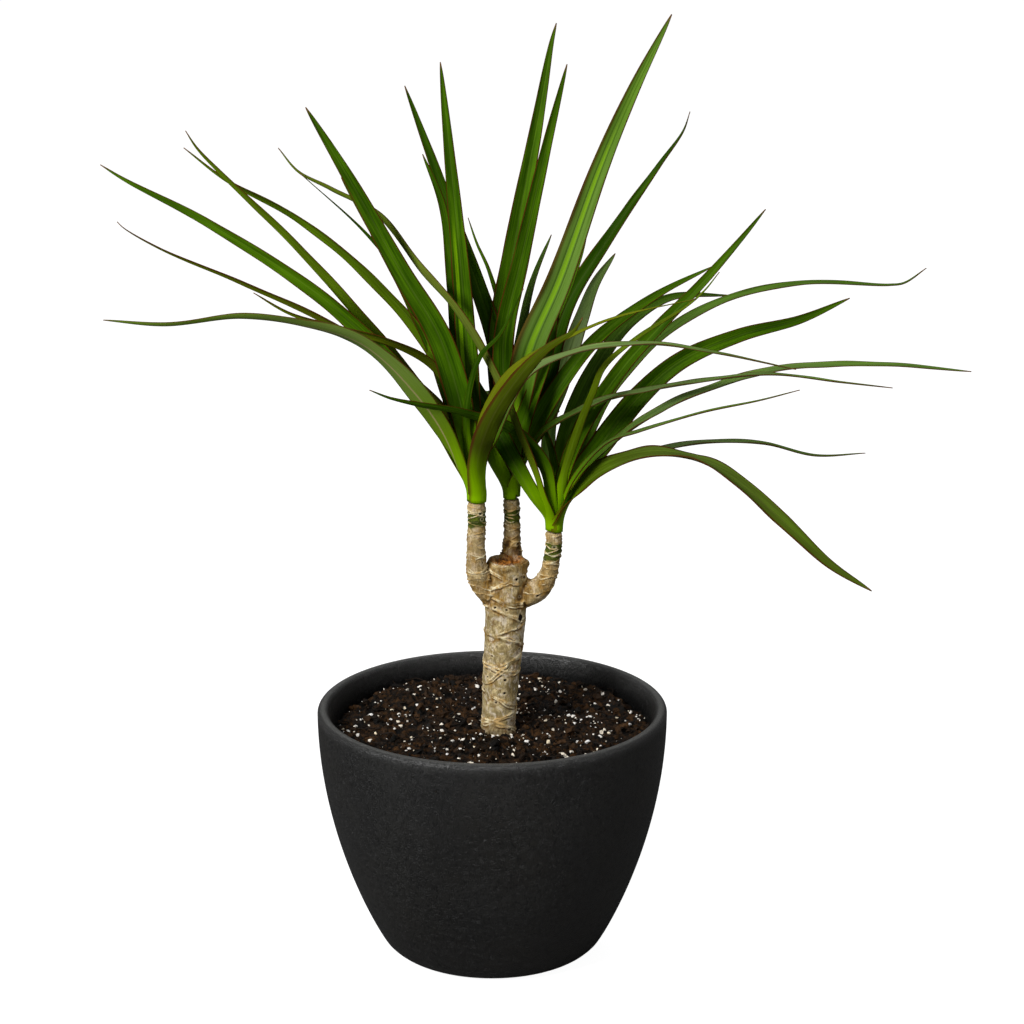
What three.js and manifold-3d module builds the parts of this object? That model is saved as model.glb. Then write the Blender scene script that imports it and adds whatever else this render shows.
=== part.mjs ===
// A potted dracaena: three crowns of strap leaves on one pruned cane, in a matt charcoal pot.
// Millimetres, +Z up. The origin is the middle of the pot's underside, on the surface it stands on,
// and +Y points away from the front, so that +X is to the right.
import * as THREE from "three";
import { mergeVertices } from "three/addons/utils/BufferGeometryUtils.js";
import Module from "manifold-3d";

// ---- driving dimensions ----

const GAP = 0.35; // between pieces that touch
const SAME_POINT = 1e-3; // vertices this close are one

const POT_HEIGHT = 125;
const RIM_RADIUS = 85;
const LIP = 5.5; // thickness of the rounded lip
const WALL = 8; // thickness of the wall below it
const LIP_TAPER = 12; // how far below the rim the wall has its full thickness
const FLOOR_THICKNESS = 6;
const FLAT_RADIUS = 40; // the flat underside that the pot stands on
const HEEL_CORNER = 48;
const HEEL = [53.5, 6.5]; // where the underside has rounded up into the wall
const BELLY_LOW = [57, 11]; // the two handles that shape the bowl between heel and rim
const BELLY_HIGH = [RIM_RADIUS, 61];
const POT_SIDES = 48;

const SOIL_LEVEL = 112;
const SOIL_RINGS = 9;
const LUMP_HEIGHT = 1.5;
const LUMP_PITCH = 11;
const MOUND = 4; // how far the soil is heaped against the back of the bowl

const FOOT_DEPTH = 42; // how far the cane stands in the soil
const CANE = [[2, 0, SOIL_LEVEL - FOOT_DEPTH], [2.6, 0, 112], [4.3, 0, 140], [6.5, 0, 172], [7.7, 0, 199]];
const CANE_RADII = [7.4, 8.4, 9.2, 10, 9.2];
const CANE_SIDES = 14;
// The cut top's raised rim and dry hollow: [share of radius, depth].
const CUT_RIM = [[0.82, -0.7], [0.66, 0.6]];

// The three branches, from inside the cane to the flat end that carries a crown.
const BRANCHES = {
  left: {
    path: [[4, 0, 181], [-3.6, -2.4, 185.5], [-7.2, -4.6, 194], [-7.6, -5.8, 210], [-7.3, -6, 222],
      [-7.3, -6, 229.5]],
    radii: [6, 5.6, 4.7, 4.3, 4.3, 4.2],
  },
  middle: {
    path: [[8, 2, 181], [8.8, 8, 186], [9.4, 10.4, 195], [9.5, 10, 210], [9.5, 10, 222], [9.5, 10, 226.5]],
    radii: [5.5, 5.2, 4.2, 3.8, 3.9, 3.8],
  },
  right: {
    path: [[11, 0, 180], [21.5, -1.6, 184], [27.2, -2.8, 193], [29, -3.8, 203], [29.7, -4, 209],
      [29.7, -4, 214]],
    radii: [6.4, 5.8, 4.8, 4, 4, 3.8],
  },
};
const BRANCH_SIDES = 10;
const BARK_STEP = 4.8; // between rings of the bark's mesh
const SCAR_PITCH = 10.5; // between the rings that fallen leaves left
const SCAR_SWELL = 0.3;

const STEM_HEIGHT = 34; // the green growing stem in the middle of each crown
const ROOT_SHARE = 0.66; // how far out from the stem's axis a blade is rooted, as a share of its radius
const BLADE_THICKNESS = 0.6;
const BLADE_STEP = 19; // between the sections of a blade
const TURN_SHARE = 0.2; // the share of its length over which a blade turns from clasping the stem to its face
const CREASE = 0.16; // depth of the channel along a blade, as a share of its width
const TAPER = 0.62; // how soon most blades narrow to their tips

// Leaves are laid out in front elevation, as they line up for someone who looks from EYE: each point of
// a midrib is [across, height, depth], where the line of sight crosses the upright plane through the
// pot's axis, and how far behind that plane (or in front, if negative) the point lies.
const EYE = new THREE.Vector3(9.6, -1600, 690);
const SIGHT_TILT = THREE.MathUtils.degToRad(16.3);
const SIGHT = new THREE.Vector3(0, Math.cos(SIGHT_TILT), -Math.sin(SIGHT_TILT));
const DOWN = new THREE.Vector3(0, 0, -1);

// rise: where the leaf leaves the stem, above the branch's end. from: the side of the stem it grows on,
// in degrees from +X. face: how far the blade is turned away from the front along its outer three
// quarters, in degrees (0 shows its full width). flat: the same for a blade that leans back, seen from above.
// taper: how soon the blade narrows to its tip.
const LEAVES = {
  left: [
    { name: "far", rise: 6, from: 150, width: 8.5, face: [10, 25],
      line: [[-16, 248, -5], [-32, 277.5, -6], [-76.3, 324.6, -8], [-132, 363, -6], [-171, 384, -2],
        [-182, 391, 0]] },
    { name: "slim", rise: 12, from: 140, width: 7, face: [30, 35],
      line: [[-14, 251, -2], [-43, 295, 2], [-90, 351, 8], [-126, 387, 14], [-137, 399, 17],
        [-142, 407, 18]] },
    { name: "third", rise: 18, from: 140, width: 8.5, face: [40, 35],
      line: [[-13, 258, 2], [-25, 296, 6], [-53, 332.8, 16], [-89.3, 364.4, 26], [-124, 384, 36],
        [-143, 399, 41]] },
    { name: "wave", rise: 3, from: 170, width: 13, face: [15, 56, 75, 60],
      line: [[-16.9, 251, -10], [-32.6, 278.2, -16], [-60, 306.2, -26], [-90, 316, -36], [-118, 319, -42],
        [-154, 315, -46], [-183, 317, -48]] },
    { name: "big", rise: 20, from: 110, width: 13, face: [0],
      line: [[-11, 258, -6], [-24, 307, -4], [-43, 341, 0], [-66, 384, 4], [-86, 418, 8]] },
    { name: "side", rise: 16, from: 120, width: 10.2, face: [20],
      line: [[-13, 258, 6], [-28, 305, 8], [-51, 352, 12], [-70, 385, 14]] },
    { name: "up", rise: 27, from: 60, width: 11, face: [10],
      line: [[-8, 251, 0], [-11, 290, 2], [-14.5, 341, 4], [-19.7, 398, 8], [-23.5, 439, 10]] },
    { name: "beside", rise: 24, from: 110, width: 9, face: [15],
      line: [[-10, 253, 2], [-15, 293, 8], [-18, 331, 9], [-23, 372, 11], [-32, 396, 12]] },
    { name: "front", rise: 2, from: 305, width: 10.5, face: [0, 10, 50],
      line: [[-7, 244, -14], [-2, 264, -38], [10, 285, -66], [25, 302, -92], [39, 312, -108],
        [43, 318, -112]] },
    { name: "over", rise: 8, from: 300, width: 9, face: [60, 78],
      line: [[-4, 248, -12], [2, 262, -22], [16, 290, -36], [39, 302, -48], [75, 306, -60], [108, 301, -68],
        [144, 293, -74]] },
    { name: "olive", rise: 12, from: 260, width: 5, taper: 1.0, face: [35, 60],
      line: [[-7, 249, -10], [-3, 272, -22], [11, 294, -34], [43, 312, -44], [61, 319, -48],
        [96, 327, -54]] },
    { name: "short", rise: 22, from: 240, width: 4, face: [20, 50],
      line: [[-12, 263, -6], [-10, 285, -14], [-5, 300, -20], [4, 310, -26], [15, 332, -34]] },
    { name: "low", rise: 14, from: 150, width: 6, face: [20, 60],
      line: [[-10, 251, 6], [-20, 270, 12], [-43, 292, 14], [-76, 315, 16], [-118, 335, 20], [-155, 351, 24],
        [-172, 361, 27], [-175, 364, 28]] },
    { name: "cross", rise: 12, from: 120, width: 6, face: [40, 50],
      line: [[-10, 253, 0], [-17, 278, 4], [-28, 295, 2], [-48, 306, -8], [-69, 312, -14], [-95, 320, -18],
        [-112, 330, -20]] },
    { name: "back", rise: 10, from: 95, width: 9, flat: [10, 25],
      line: [[-10, 256, 14], [-14, 278, 50], [-13, 292, 85], [-10, 295, 118]] },
    { name: "rear", rise: 6.6, from: 75, width: 9, flat: [10, -20],
      line: [[-9, 253, 14], [-6, 273, 45], [-3, 283, 72], [1, 278, 100]] },
    { name: "wing", rise: 8, from: 110, width: 8, flat: [20],
      line: [[-12, 253, 12], [-16, 272, 44], [-15, 280, 76], [-12, 273, 108]] },
  ],
  middle: [
    { name: "tall", rise: 22, from: 90, width: 12.4, face: [0],
      line: [[7, 258, 14], [3.8, 305, 16], [10.1, 350, 22], [21.5, 412, 30], [27.6, 447, 35],
        [30, 457, 36]] },
    { name: "pair", rise: 24, from: 70, width: 10.5, face: [0],
      line: [[9, 258, 10], [5.5, 305, 8], [14, 347, 6], [25.3, 398, 4], [35, 438, 2]] },
    { name: "bright", rise: 18, from: 60, width: 14.5, face: [0],
      line: [[10, 258, 4], [17, 300, -6], [31.7, 336, -14], [50.6, 390, -20], [65.5, 425.5, -24],
        [83, 461, -26]] },
    { name: "dark", rise: 14, from: 70, width: 11, taper: 0.85, face: [0, 40],
      line: [[13, 256, 8], [24, 285, 10], [35, 324, 12], [53, 354, 16], [78, 391, 24], [89, 407, 29],
        [92, 416, 30]] },
    { name: "behind", rise: 26, from: 90, width: 7, face: [20],
      line: [[9, 258, 20], [13, 305, 34], [19, 335, 44], [28, 358, 56]] },
    { name: "pale", rise: 16, from: 80, width: 12.5, face: [0],
      line: [[14, 253, 18], [29, 280, 30], [41.8, 316, 44], [48.4, 334, 52], [58, 349, 62]] },
    { name: "tiny", rise: 20, from: 60, width: 4, face: [0],
      line: [[12, 258, 10], [26, 305, 4], [38, 336, 4], [43, 352, 4], [46, 368, 6]] },
    { name: "lean", rise: 16, from: 120, width: 10, face: [0],
      line: [[6, 263, 14], [3, 302, 16], [-6, 332, 18], [-17.4, 364, 20], [-26.7, 391, 22],
        [-40, 428, 26]] },
    { name: "thread", rise: 26, from: 100, width: 4, face: [20],
      line: [[8, 263, 22], [6, 312, 34], [-1, 340, 40], [-7, 354, 44], [-11, 366, 46]] },
    { name: "flare", rise: 3, from: 205, width: 9, face: [30],
      line: [[3, 244, 8], [-1, 255, 10], [-8, 279, 22], [-14, 302, 34], [-16, 318, 44]] },
    { name: "right", rise: 6, from: 325, width: 8, face: [70, 75],
      line: [[14, 246, 2], [22, 261, -8], [33, 269, -14], [51, 278, -20], [94, 287, -36], [132, 291, -46],
        [165, 287, -51], [190, 284, -54]] },
    { name: "arch", rise: 10, from: 60, width: 9, face: [10, 30],
      line: [[14, 251, 8], [25, 274, 4], [40, 297, 6], [55, 313, 10], [79, 330, 16], [104, 343, 22]] },
    { name: "inner", rise: 16, from: 50, width: 10, face: [10],
      line: [[12, 258, 2], [19, 280, -2], [27, 302, 0], [31, 324, 4]] },
    { name: "deep", rise: 20, from: 80, width: 9, face: [10],
      line: [[10, 258, 16], [14, 282, 26], [21, 305, 36], [25, 318, 44]] },
    { name: "back", rise: 10, from: 90, width: 9, flat: [10, 25],
      line: [[10, 258, 34], [11, 282, 66], [14, 294, 100], [19, 290, 135]] },
    { name: "rear", rise: 6, from: 105, width: 9, flat: [-10, -25],
      line: [[7, 258, 30], [5, 282, 66], [7, 296, 100], [5, 292, 132]] },
    { name: "wing", rise: 8, from: 70, width: 9, flat: [20],
      line: [[13, 258, 30], [21, 285, 58], [29, 297, 86], [37, 295, 116]] },
  ],
  right: [
    { name: "back_left", rise: 5, from: 200, width: 9, face: [70, 60, 62],
      line: [[23, 237, -12], [14, 261, -14], [3.5, 287.5, -13], [-15.2, 321, -12], [-32.2, 341, 6],
        [-52, 367, 22], [-75, 380, 30], [-90, 388, 34], [-99, 399, 36]] },
    { name: "dark_left", rise: 6, from: 210, width: 10, taper: 1.3, face: [20, 60],
      line: [[20, 231, -10], [7, 255, -6], [-6, 280, 12], [-20, 305, 22], [-38, 333, 26], [-59, 359, 28],
        [-89, 387, 30]] },
    { name: "low_left", rise: 8, from: 230, width: 8, face: [40, 60],
      line: [[26, 244, -10], [15, 260, -11], [4, 267, -10], [-6, 270, -12], [-17, 273, -18], [-34, 276, -26],
        [-48, 279, -30], [-58, 283, -30]] },
    { name: "wide", rise: 8, from: 40, width: 11.5, face: [0],
      line: [[36, 233, -6], [51, 255, -6], [70, 280, -6], [89, 297, -4], [117, 309.6, 0], [145.2, 317.2, 4],
        [168.5, 327.5, 8]] },
    { name: "long", rise: 5, from: 10, width: 9, face: [72, 60, 50],
      line: [[38, 235, -12], [54, 255, -20], [80, 274, -26], [108, 286, -30], [136, 293.7, -34],
        [184, 295.7, -40], [227, 292, -46]] },
    { name: "thin", rise: 6, from: 340, width: 5, face: [72],
      line: [[37, 236, -18], [54, 257, -30], [70, 263, -38], [99, 272, -46], [127, 278, -52],
        [146, 283, -56]] },
    { name: "flat", rise: 4, from: 20, width: 8, face: [72, 72],
      line: [[37, 234, 4], [52, 247, 10], [78, 254, 16], [104, 258, 22], [130, 257, 26], [154, 251, 30],
        [178, 252, 32]] },
    { name: "droop", rise: 2, from: 350, width: 13, face: [55, 75, 15, 0],
      line: [[36, 229, -14], [51, 244, -26], [71, 252, -40], [90, 252, -50], [109.4, 244.8, -58],
        [138, 220, -68], [162, 197, -75], [183, 183, -80]] },
    { name: "diagonal", rise: 14, from: 50, width: 8.5, face: [20, 0],
      line: [[33, 236, -4], [42, 263, -8], [61, 293, -10], [79, 314, -12], [98, 334, -14], [116, 355, -16],
        [128, 370, -16]] },
    { name: "kinked", rise: 10, from: 30, width: 8.5, face: [45, 55, 60],
      line: [[34, 235, 8], [44, 258, 14], [59, 287, 20], [81, 310.2, 24], [107, 326, 28], [145, 335, 32],
        [187, 334, 37], [194, 335, 38], [204, 342, 40]] },
    { name: "olive", rise: 12, from: 320, width: 4.5, face: [20, 60],
      line: [[34, 239, -12], [42, 266, -28], [48, 282, -34], [53, 294, -36], [68, 308, -36], [91, 323, -36],
        [100, 331, -36], [107, 340, -36]] },
    { name: "deep", rise: 16, from: 70, width: 10, face: [0, 40],
      line: [[31, 234, 2], [34, 253, 8], [41, 277, 14], [53, 301, 20], [66, 317, 26], [84, 328, 34],
        [112, 329, 40]] },
    { name: "spur", rise: 18, from: 130, width: 6, face: [30],
      line: [[30, 239, 0], [29, 251, 2], [26, 261, 6], [23, 269, 10]] },
    { name: "rear", rise: 8, from: 75, width: 9, flat: [10, 25],
      line: [[32, 236, 14], [36, 257, 44], [43, 268, 78], [51, 268, 112]] },
    { name: "tail", rise: 6, from: 95, width: 9, flat: [-10, -25],
      line: [[29, 236, 14], [27, 256, 44], [29, 271, 76], [32, 273, 108]] },
    { name: "wing", rise: 10, from: 60, width: 8, flat: [20],
      line: [[33, 239, 12], [41, 259, 36], [48, 272, 62], [53, 277, 90]] },
  ],
};

// ---- solids ----

const wasm = await Module();
wasm.setup();

// A closed three.js geometry as a solid that can be joined and cut.
function solidOf(geometry) {
  const bare = geometry.clone();
  bare.deleteAttribute("normal");
  bare.deleteAttribute("uv");
  const merged = mergeVertices(bare, SAME_POINT);
  return new wasm.Manifold(
    new wasm.Mesh({
      numProp: 3,
      vertProperties: new Float32Array(merged.attributes.position.array),
      triVerts: new Uint32Array(merged.index.array),
    }),
  );
}

function geometryOf(solid) {
  const mesh = solid.getMesh();
  const geometry = new THREE.BufferGeometry();
  geometry.setAttribute("position", new THREE.BufferAttribute(mesh.vertProperties, 3));
  geometry.setIndex(new THREE.BufferAttribute(mesh.triVerts, 1));
  geometry.computeVertexNormals();
  return geometry;
}

// A solid's outer skin alone, without the sealed pockets that are left where its parts cross.
function filled(solid) {
  const skins = solidOf(geometryOf(solid)).decompose();
  return skins.sort((one, other) => other.volume() - one.volume())[0];
}

// A closed geometry from a list of points [x, y, z] and a list of triangles.
function geometryFrom(points, triangles) {
  const geometry = new THREE.BufferGeometry();
  geometry.setAttribute("position", new THREE.Float32BufferAttribute(points.flat(), 3));
  geometry.setIndex(triangles.flat());
  return geometry;
}

// A profile of (radius, height) points turned round the upright axis.
function turned(profile, sides) {
  return new THREE.LatheGeometry(profile, sides).rotateX(Math.PI / 2);
}

const ease = (t) => THREE.MathUtils.smoothstep(t, 0, 1);

// ---- pot and soil ----

const at = (radius, height) => new THREE.Vector2(radius, height);

// The inside of the bowl, from under the lip down to the middle of its floor.
function insideOfBowl() {
  const shoulder = at(RIM_RADIUS - WALL, POT_HEIGHT - LIP_TAPER);
  const foot = at(HEEL[0] - WALL + 2, HEEL[1] + 5);
  const wall = new THREE.CubicBezierCurve(
    shoulder,
    at(BELLY_HIGH[0] - WALL, BELLY_HIGH[1]),
    at(BELLY_LOW[0] - WALL + 2, BELLY_LOW[1] + 5),
    foot,
  );
  const corner = new THREE.QuadraticBezierCurve(
    foot,
    at(HEEL_CORNER - WALL + 2, FLOOR_THICKNESS),
    at(FLAT_RADIUS - WALL, FLOOR_THICKNESS),
  );
  return [...wall.getPoints(6), ...corner.getPoints(2).slice(1), at(0, FLOOR_THICKNESS)];
}

function potGeometry() {
  const underside = new THREE.QuadraticBezierCurve(at(FLAT_RADIUS, 0), at(HEEL_CORNER, 0), at(...HEEL));
  const rim = at(RIM_RADIUS, POT_HEIGHT - LIP / 2);
  const wall = new THREE.CubicBezierCurve(at(...HEEL), at(...BELLY_LOW), at(...BELLY_HIGH), rim);
  const lip = new THREE.ArcCurve(rim.x - LIP / 2, rim.y, LIP / 2, 0, Math.PI, false);
  const profile = [
    at(0, 0),
    ...underside.getPoints(3),
    ...wall.getPoints(9).slice(1),
    ...lip.getPoints(4).slice(1),
    ...insideOfBowl(),
  ];
  return turned(profile, POT_SIDES);
}

// Crumbs and hollows of the potting mix: crossing waves of a few lengths.
function soilRelief(x, y) {
  const wave = (length, turn, shift) => {
    const along = x * Math.cos(turn) + y * Math.sin(turn);
    return Math.sin((2 * Math.PI * along) / length + shift);
  };
  const coarse = wave(LUMP_PITCH, 0.3, 0.5) * wave(LUMP_PITCH * 1.1, 1.9, 2.1);
  const fine = wave(LUMP_PITCH * 0.62, 2.6, 1.2) * wave(LUMP_PITCH * 0.7, 0.9, 0.2);
  const sway = wave(LUMP_PITCH * 6, 1.2, 2.8);
  const heap = MOUND * ease((y - 10) / 45);
  return LUMP_HEIGHT * (0.7 * coarse + 0.5 * fine + 0.5 * sway) + heap;
}

// The soil's outline: the inside of the bowl, a gap clear of it, up to the soil's level.
function soilProfile() {
  const shifted = insideOfBowl().map((point) => at(Math.max(0, point.x - GAP), point.y + GAP));
  const [above, below] = shifted;
  const share = (SOIL_LEVEL - below.y) / (above.y - below.y);
  const brim = below.clone().lerp(above, share);
  const side = [brim, ...shifted.slice(1)].reverse();
  const radii = Array.from({ length: SOIL_RINGS }, (_, i) => brim.x * (1 - (i + 1) / SOIL_RINGS));
  const top = radii.map((radius) => at(radius, SOIL_LEVEL));
  return [...side, ...top];
}

function soilGeometry() {
  const profile = soilProfile();
  const brim = Math.max(...profile.map((point) => point.x));
  const geometry = turned(profile, POT_SIDES);
  const position = geometry.attributes.position;
  for (let i = 0; i < position.count; i++) {
    const [x, y, z] = [position.getX(i), position.getY(i), position.getZ(i)];
    if (z > SOIL_LEVEL - 1e-3 && Math.hypot(x, y) < brim - 1e-3) {
      position.setZ(i, z + soilRelief(x, y));
    }
  }
  return geometry;
}

// ---- trunk ----

// The swelling of the bark where leaves have fallen: rings that tilt one way and the other.
function scarSwell(height, angle) {
  const one = Math.sin((2 * Math.PI * height) / SCAR_PITCH + 1.6 * Math.sin(angle));
  const other = Math.sin((2 * Math.PI * height) / SCAR_PITCH - 1.8 * Math.sin(angle + 1.1) + 2);
  return SCAR_SWELL * Math.max(one, other);
}

// A limb of the cane: rings of bark round a path, closed by a flat face at the start, and at the end by
// rings of the given share of the end's radius, sunk by the given depth.
function limb(path, radii, sides, hollow = []) {
  const curve = new THREE.CatmullRomCurve3(path.map((p) => new THREE.Vector3(...p)), false, "centripetal");
  const count = Math.ceil(curve.getLength() / BARK_STEP);
  const points = [];
  const addRing = (centre, forward, radius, swell) => {
    const side = new THREE.Vector3(0, 1, 0).cross(forward).normalize();
    const away = forward.clone().cross(side);
    for (let k = 0; k < sides; k++) {
      const angle = (2 * Math.PI * k) / sides;
      const reach = radius + swell * scarSwell(centre.z, angle);
      const point = centre.clone();
      point.addScaledVector(side, reach * Math.cos(angle));
      point.addScaledVector(away, reach * Math.sin(angle));
      points.push(point.toArray());
    }
  };
  for (let i = 0; i <= count; i++) {
    const along = i / count;
    const place = along * (radii.length - 1);
    const low = Math.min(Math.floor(place), radii.length - 2);
    const radius = THREE.MathUtils.lerp(radii[low], radii[low + 1], place - low);
    addRing(curve.getPointAt(along), curve.getTangentAt(along), radius, i === count ? 0 : 1);
  }
  const end = curve.getPointAt(1);
  const up = curve.getTangentAt(1);
  for (const [share, depth] of hollow) {
    addRing(end.clone().addScaledVector(up, -depth), up, radii.at(-1) * share, 0);
  }
  const rings = points.length / sides;
  const triangles = [];
  for (let i = 0; i + 1 < rings; i++) {
    for (let k = 0; k < sides; k++) {
      const [a, b] = [i * sides + k, i * sides + ((k + 1) % sides)];
      triangles.push([a, b, b + sides], [a, b + sides, a + sides]);
    }
  }
  const last = (rings - 1) * sides;
  for (let k = 1; k + 1 < sides; k++) {
    triangles.push([0, k + 1, k], [last, last + k, last + k + 1]);
  }
  return geometryFrom(points, triangles);
}

function trunkSolid() {
  const cane = solidOf(limb(CANE, CANE_RADII, CANE_SIDES, CUT_RIM));
  return Object.values(BRANCHES).reduce(
    (whole, { path, radii }) => whole.add(solidOf(limb(path, radii, BRANCH_SIDES))),
    cane,
  );
}

// The plain hole that the cane's foot stands in.
function footHole() {
  const low = CANE.map(([x, y, z]) => [x, y, z]).slice(0, 3);
  low[0][2] -= GAP;
  const wide = CANE_RADII.slice(0, 3).map((radius) => radius + GAP + SCAR_SWELL);
  return solidOf(limb(low, wide, CANE_SIDES));
}

// ---- crowns ----

// Where a point read in front elevation lies when it is `depth` behind the plane of the pot's axis.
function placed([across, height, depth]) {
  const onPlane = new THREE.Vector3(across, 0, height);
  return onPlane.sub(EYE).multiplyScalar((depth - EYE.y) / -EYE.y).add(EYE);
}

// Half the width of a blade: clasping the stem at its root, widest near a third, drawn out to a long tip.
function halfWidth(width, along, taper) {
  const root = 0.72 + 0.28 * ease(along / 0.3);
  const tip = Math.min(1, ((1 - along) / 0.7) ** taper);
  return Math.max((width / 2) * root * tip, BLADE_THICKNESS / 2);
}

// The value, at a share of the length, of a list spread evenly over the blade's outer three quarters.
function spread(list, along) {
  const place = Math.max(0, (along - 0.25) / 0.75) * (list.length - 1);
  const low = Math.min(Math.floor(place), Math.max(0, list.length - 2));
  return THREE.MathUtils.lerp(list[low], list[Math.min(low + 1, list.length - 1)], place - low);
}

// The two directions across a blade: flat on to the viewer, and edge on.
function across(forward, level) {
  const flatOn = level ? level.clone().projectOnPlane(forward) : forward.clone().cross(SIGHT);
  flatOn.normalize();
  return [flatOn, flatOn.clone().cross(forward)];
}

// One blade: sections of three points on top and three below, in a shallow channel, split alike on both
// faces.
function bladeGeometry(root, { from, width, taper = TAPER, face, flat, line }) {
  const midrib = new THREE.CatmullRomCurve3([root, ...line.map(placed)], false, "centripetal");
  const level = face ? null : midrib.getPoint(1).sub(root).setZ(0).cross(DOWN);
  const turns = face ?? flat;
  const growth = THREE.MathUtils.degToRad(from);
  const roundStem = new THREE.Vector3(-Math.sin(growth), Math.cos(growth), 0);
  const [flatOn, edgeOn] = across(midrib.getTangentAt(0), level);
  const rootTurn = THREE.MathUtils.radToDeg(Math.atan2(roundStem.dot(edgeOn), roundStem.dot(flatOn)));
  const halfTurns = 180 * Math.round((rootTurn - turns[0]) / 180);
  const steps = Math.ceil(midrib.getLength() / BLADE_STEP);
  const points = [];
  for (let i = 0; i <= steps; i++) {
    const along = i / steps;
    const [wide, narrow] = across(midrib.getTangentAt(along), level);
    const turn = THREE.MathUtils.lerp(rootTurn, spread(turns, along) + halfTurns, ease(along / TURN_SHARE));
    const angle = THREE.MathUtils.degToRad(turn);
    const side = wide.clone().multiplyScalar(Math.cos(angle)).addScaledVector(narrow, Math.sin(angle));
    const under = side.clone().cross(midrib.getTangentAt(along));
    const half = halfWidth(width, along, taper);
    for (const lift of [-BLADE_THICKNESS / 2, BLADE_THICKNESS / 2]) {
      for (const k of [-1, 0, 1]) {
        const point = midrib.getPointAt(along).addScaledVector(side, k * half);
        point.addScaledVector(under, lift + (k === 0 ? CREASE * half * 2 : 0));
        points.push(point.toArray());
      }
    }
  }
  return geometryFrom(points, bladeTriangles(steps));
}

// Vertex `k` of a section is on top for 0 to 2, from one edge to the other, and below for 3 to 5.
function bladeTriangles(steps) {
  const triangles = [];
  for (let i = 0; i < steps; i++) {
    const [here, next] = [i * 6, (i + 1) * 6];
    for (const k of [0, 1]) {
      triangles.push([here + k, next + k + 1, here + k + 1], [here + k, next + k, next + k + 1]);
      triangles.push([here + k + 3, here + k + 4, next + k + 4], [here + k + 3, next + k + 4, next + k + 3]);
    }
    triangles.push([here, next + 3, next], [here, here + 3, next + 3]);
    triangles.push([here + 2, next + 2, next + 5], [here + 2, next + 5, here + 5]);
  }
  const last = steps * 6;
  for (const k of [0, 1]) {
    triangles.push([k, k + 1, k + 4], [k, k + 4, k + 3]);
    triangles.push([last + k, last + k + 4, last + k + 1], [last + k, last + k + 3, last + k + 4]);
  }
  return triangles;
}

// The green stem that the leaves clasp, from a branch's end to its growing point.
function stemGeometry(radius) {
  const profile = [[0, 0], [1, 0], [1.1, 7], [0.98, 16], [0.6, 25], [0.2, STEM_HEIGHT], [0, STEM_HEIGHT + 1]];
  return turned(profile.map(([share, height]) => new THREE.Vector2(radius * share, height)), 12);
}

// Where a blade is rooted in the stem: at its height, and on its side.
function rootOf(leaf, foot, radius) {
  const growth = THREE.MathUtils.degToRad(leaf.from);
  const out = new THREE.Vector3(Math.cos(growth), Math.sin(growth), 0);
  return foot.clone().setZ(foot.z + leaf.rise).addScaledVector(out, radius * ROOT_SHARE);
}

function crownSolid(side) {
  const { path, radii } = BRANCHES[side];
  const foot = new THREE.Vector3(...path.at(-1));
  foot.z += GAP;
  const radius = radii.at(-1);
  const stem = stemGeometry(radius).translate(foot.x, foot.y, foot.z);
  const crown = LEAVES[side].reduce(
    (whole, leaf) => whole.add(solidOf(bladeGeometry(rootOf(leaf, foot, radius), leaf))),
    solidOf(stem),
  );
  return filled(crown);
}

// ---- the plant ----

const finish = (color, roughness) => new THREE.MeshStandardMaterial({ color, roughness, metalness: 0 });
const CHARCOAL = finish(0x222326, 0.62);
const POTTING_MIX = finish(0x2a1d14, 0.95);
const BARK = finish(0xa48c6a, 0.8);
const LEAF_GREEN = finish(0x2c5a12, 0.42);

function named(name, geometry, material) {
  const mesh = new THREE.Mesh(geometry, material);
  mesh.name = name;
  return mesh;
}

const plant = new THREE.Group();
plant.name = "potted_dracaena";
plant.add(named("pot", potGeometry(), CHARCOAL));
plant.add(named("soil", geometryOf(solidOf(soilGeometry()).subtract(footHole())), POTTING_MIX));
plant.add(named("trunk", geometryOf(trunkSolid()), BARK));
for (const side of Object.keys(LEAVES)) {
  plant.add(named("crown_" + side, geometryOf(crownSolid(side)), LEAF_GREEN));
}

export default plant;
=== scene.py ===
import itertools
import math

import bpy
import numpy as np
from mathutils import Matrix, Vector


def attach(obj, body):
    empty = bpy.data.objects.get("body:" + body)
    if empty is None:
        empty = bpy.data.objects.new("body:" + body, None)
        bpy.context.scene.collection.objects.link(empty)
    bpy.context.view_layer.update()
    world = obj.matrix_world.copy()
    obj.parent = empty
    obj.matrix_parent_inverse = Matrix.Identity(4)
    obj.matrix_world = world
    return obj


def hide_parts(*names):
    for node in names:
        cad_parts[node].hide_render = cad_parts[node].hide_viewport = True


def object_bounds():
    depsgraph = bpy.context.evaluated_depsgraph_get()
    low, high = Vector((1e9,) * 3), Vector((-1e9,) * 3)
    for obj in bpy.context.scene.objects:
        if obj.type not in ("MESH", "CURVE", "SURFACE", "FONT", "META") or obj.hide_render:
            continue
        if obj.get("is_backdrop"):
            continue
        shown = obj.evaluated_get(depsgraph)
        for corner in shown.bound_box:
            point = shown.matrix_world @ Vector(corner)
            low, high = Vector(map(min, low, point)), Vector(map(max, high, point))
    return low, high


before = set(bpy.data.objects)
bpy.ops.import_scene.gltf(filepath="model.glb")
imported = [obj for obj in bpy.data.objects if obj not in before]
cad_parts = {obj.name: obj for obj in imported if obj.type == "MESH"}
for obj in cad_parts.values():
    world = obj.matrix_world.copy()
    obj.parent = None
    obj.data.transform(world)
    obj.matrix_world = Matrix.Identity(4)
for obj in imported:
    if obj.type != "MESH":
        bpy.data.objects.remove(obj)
CAD_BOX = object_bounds()

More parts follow.
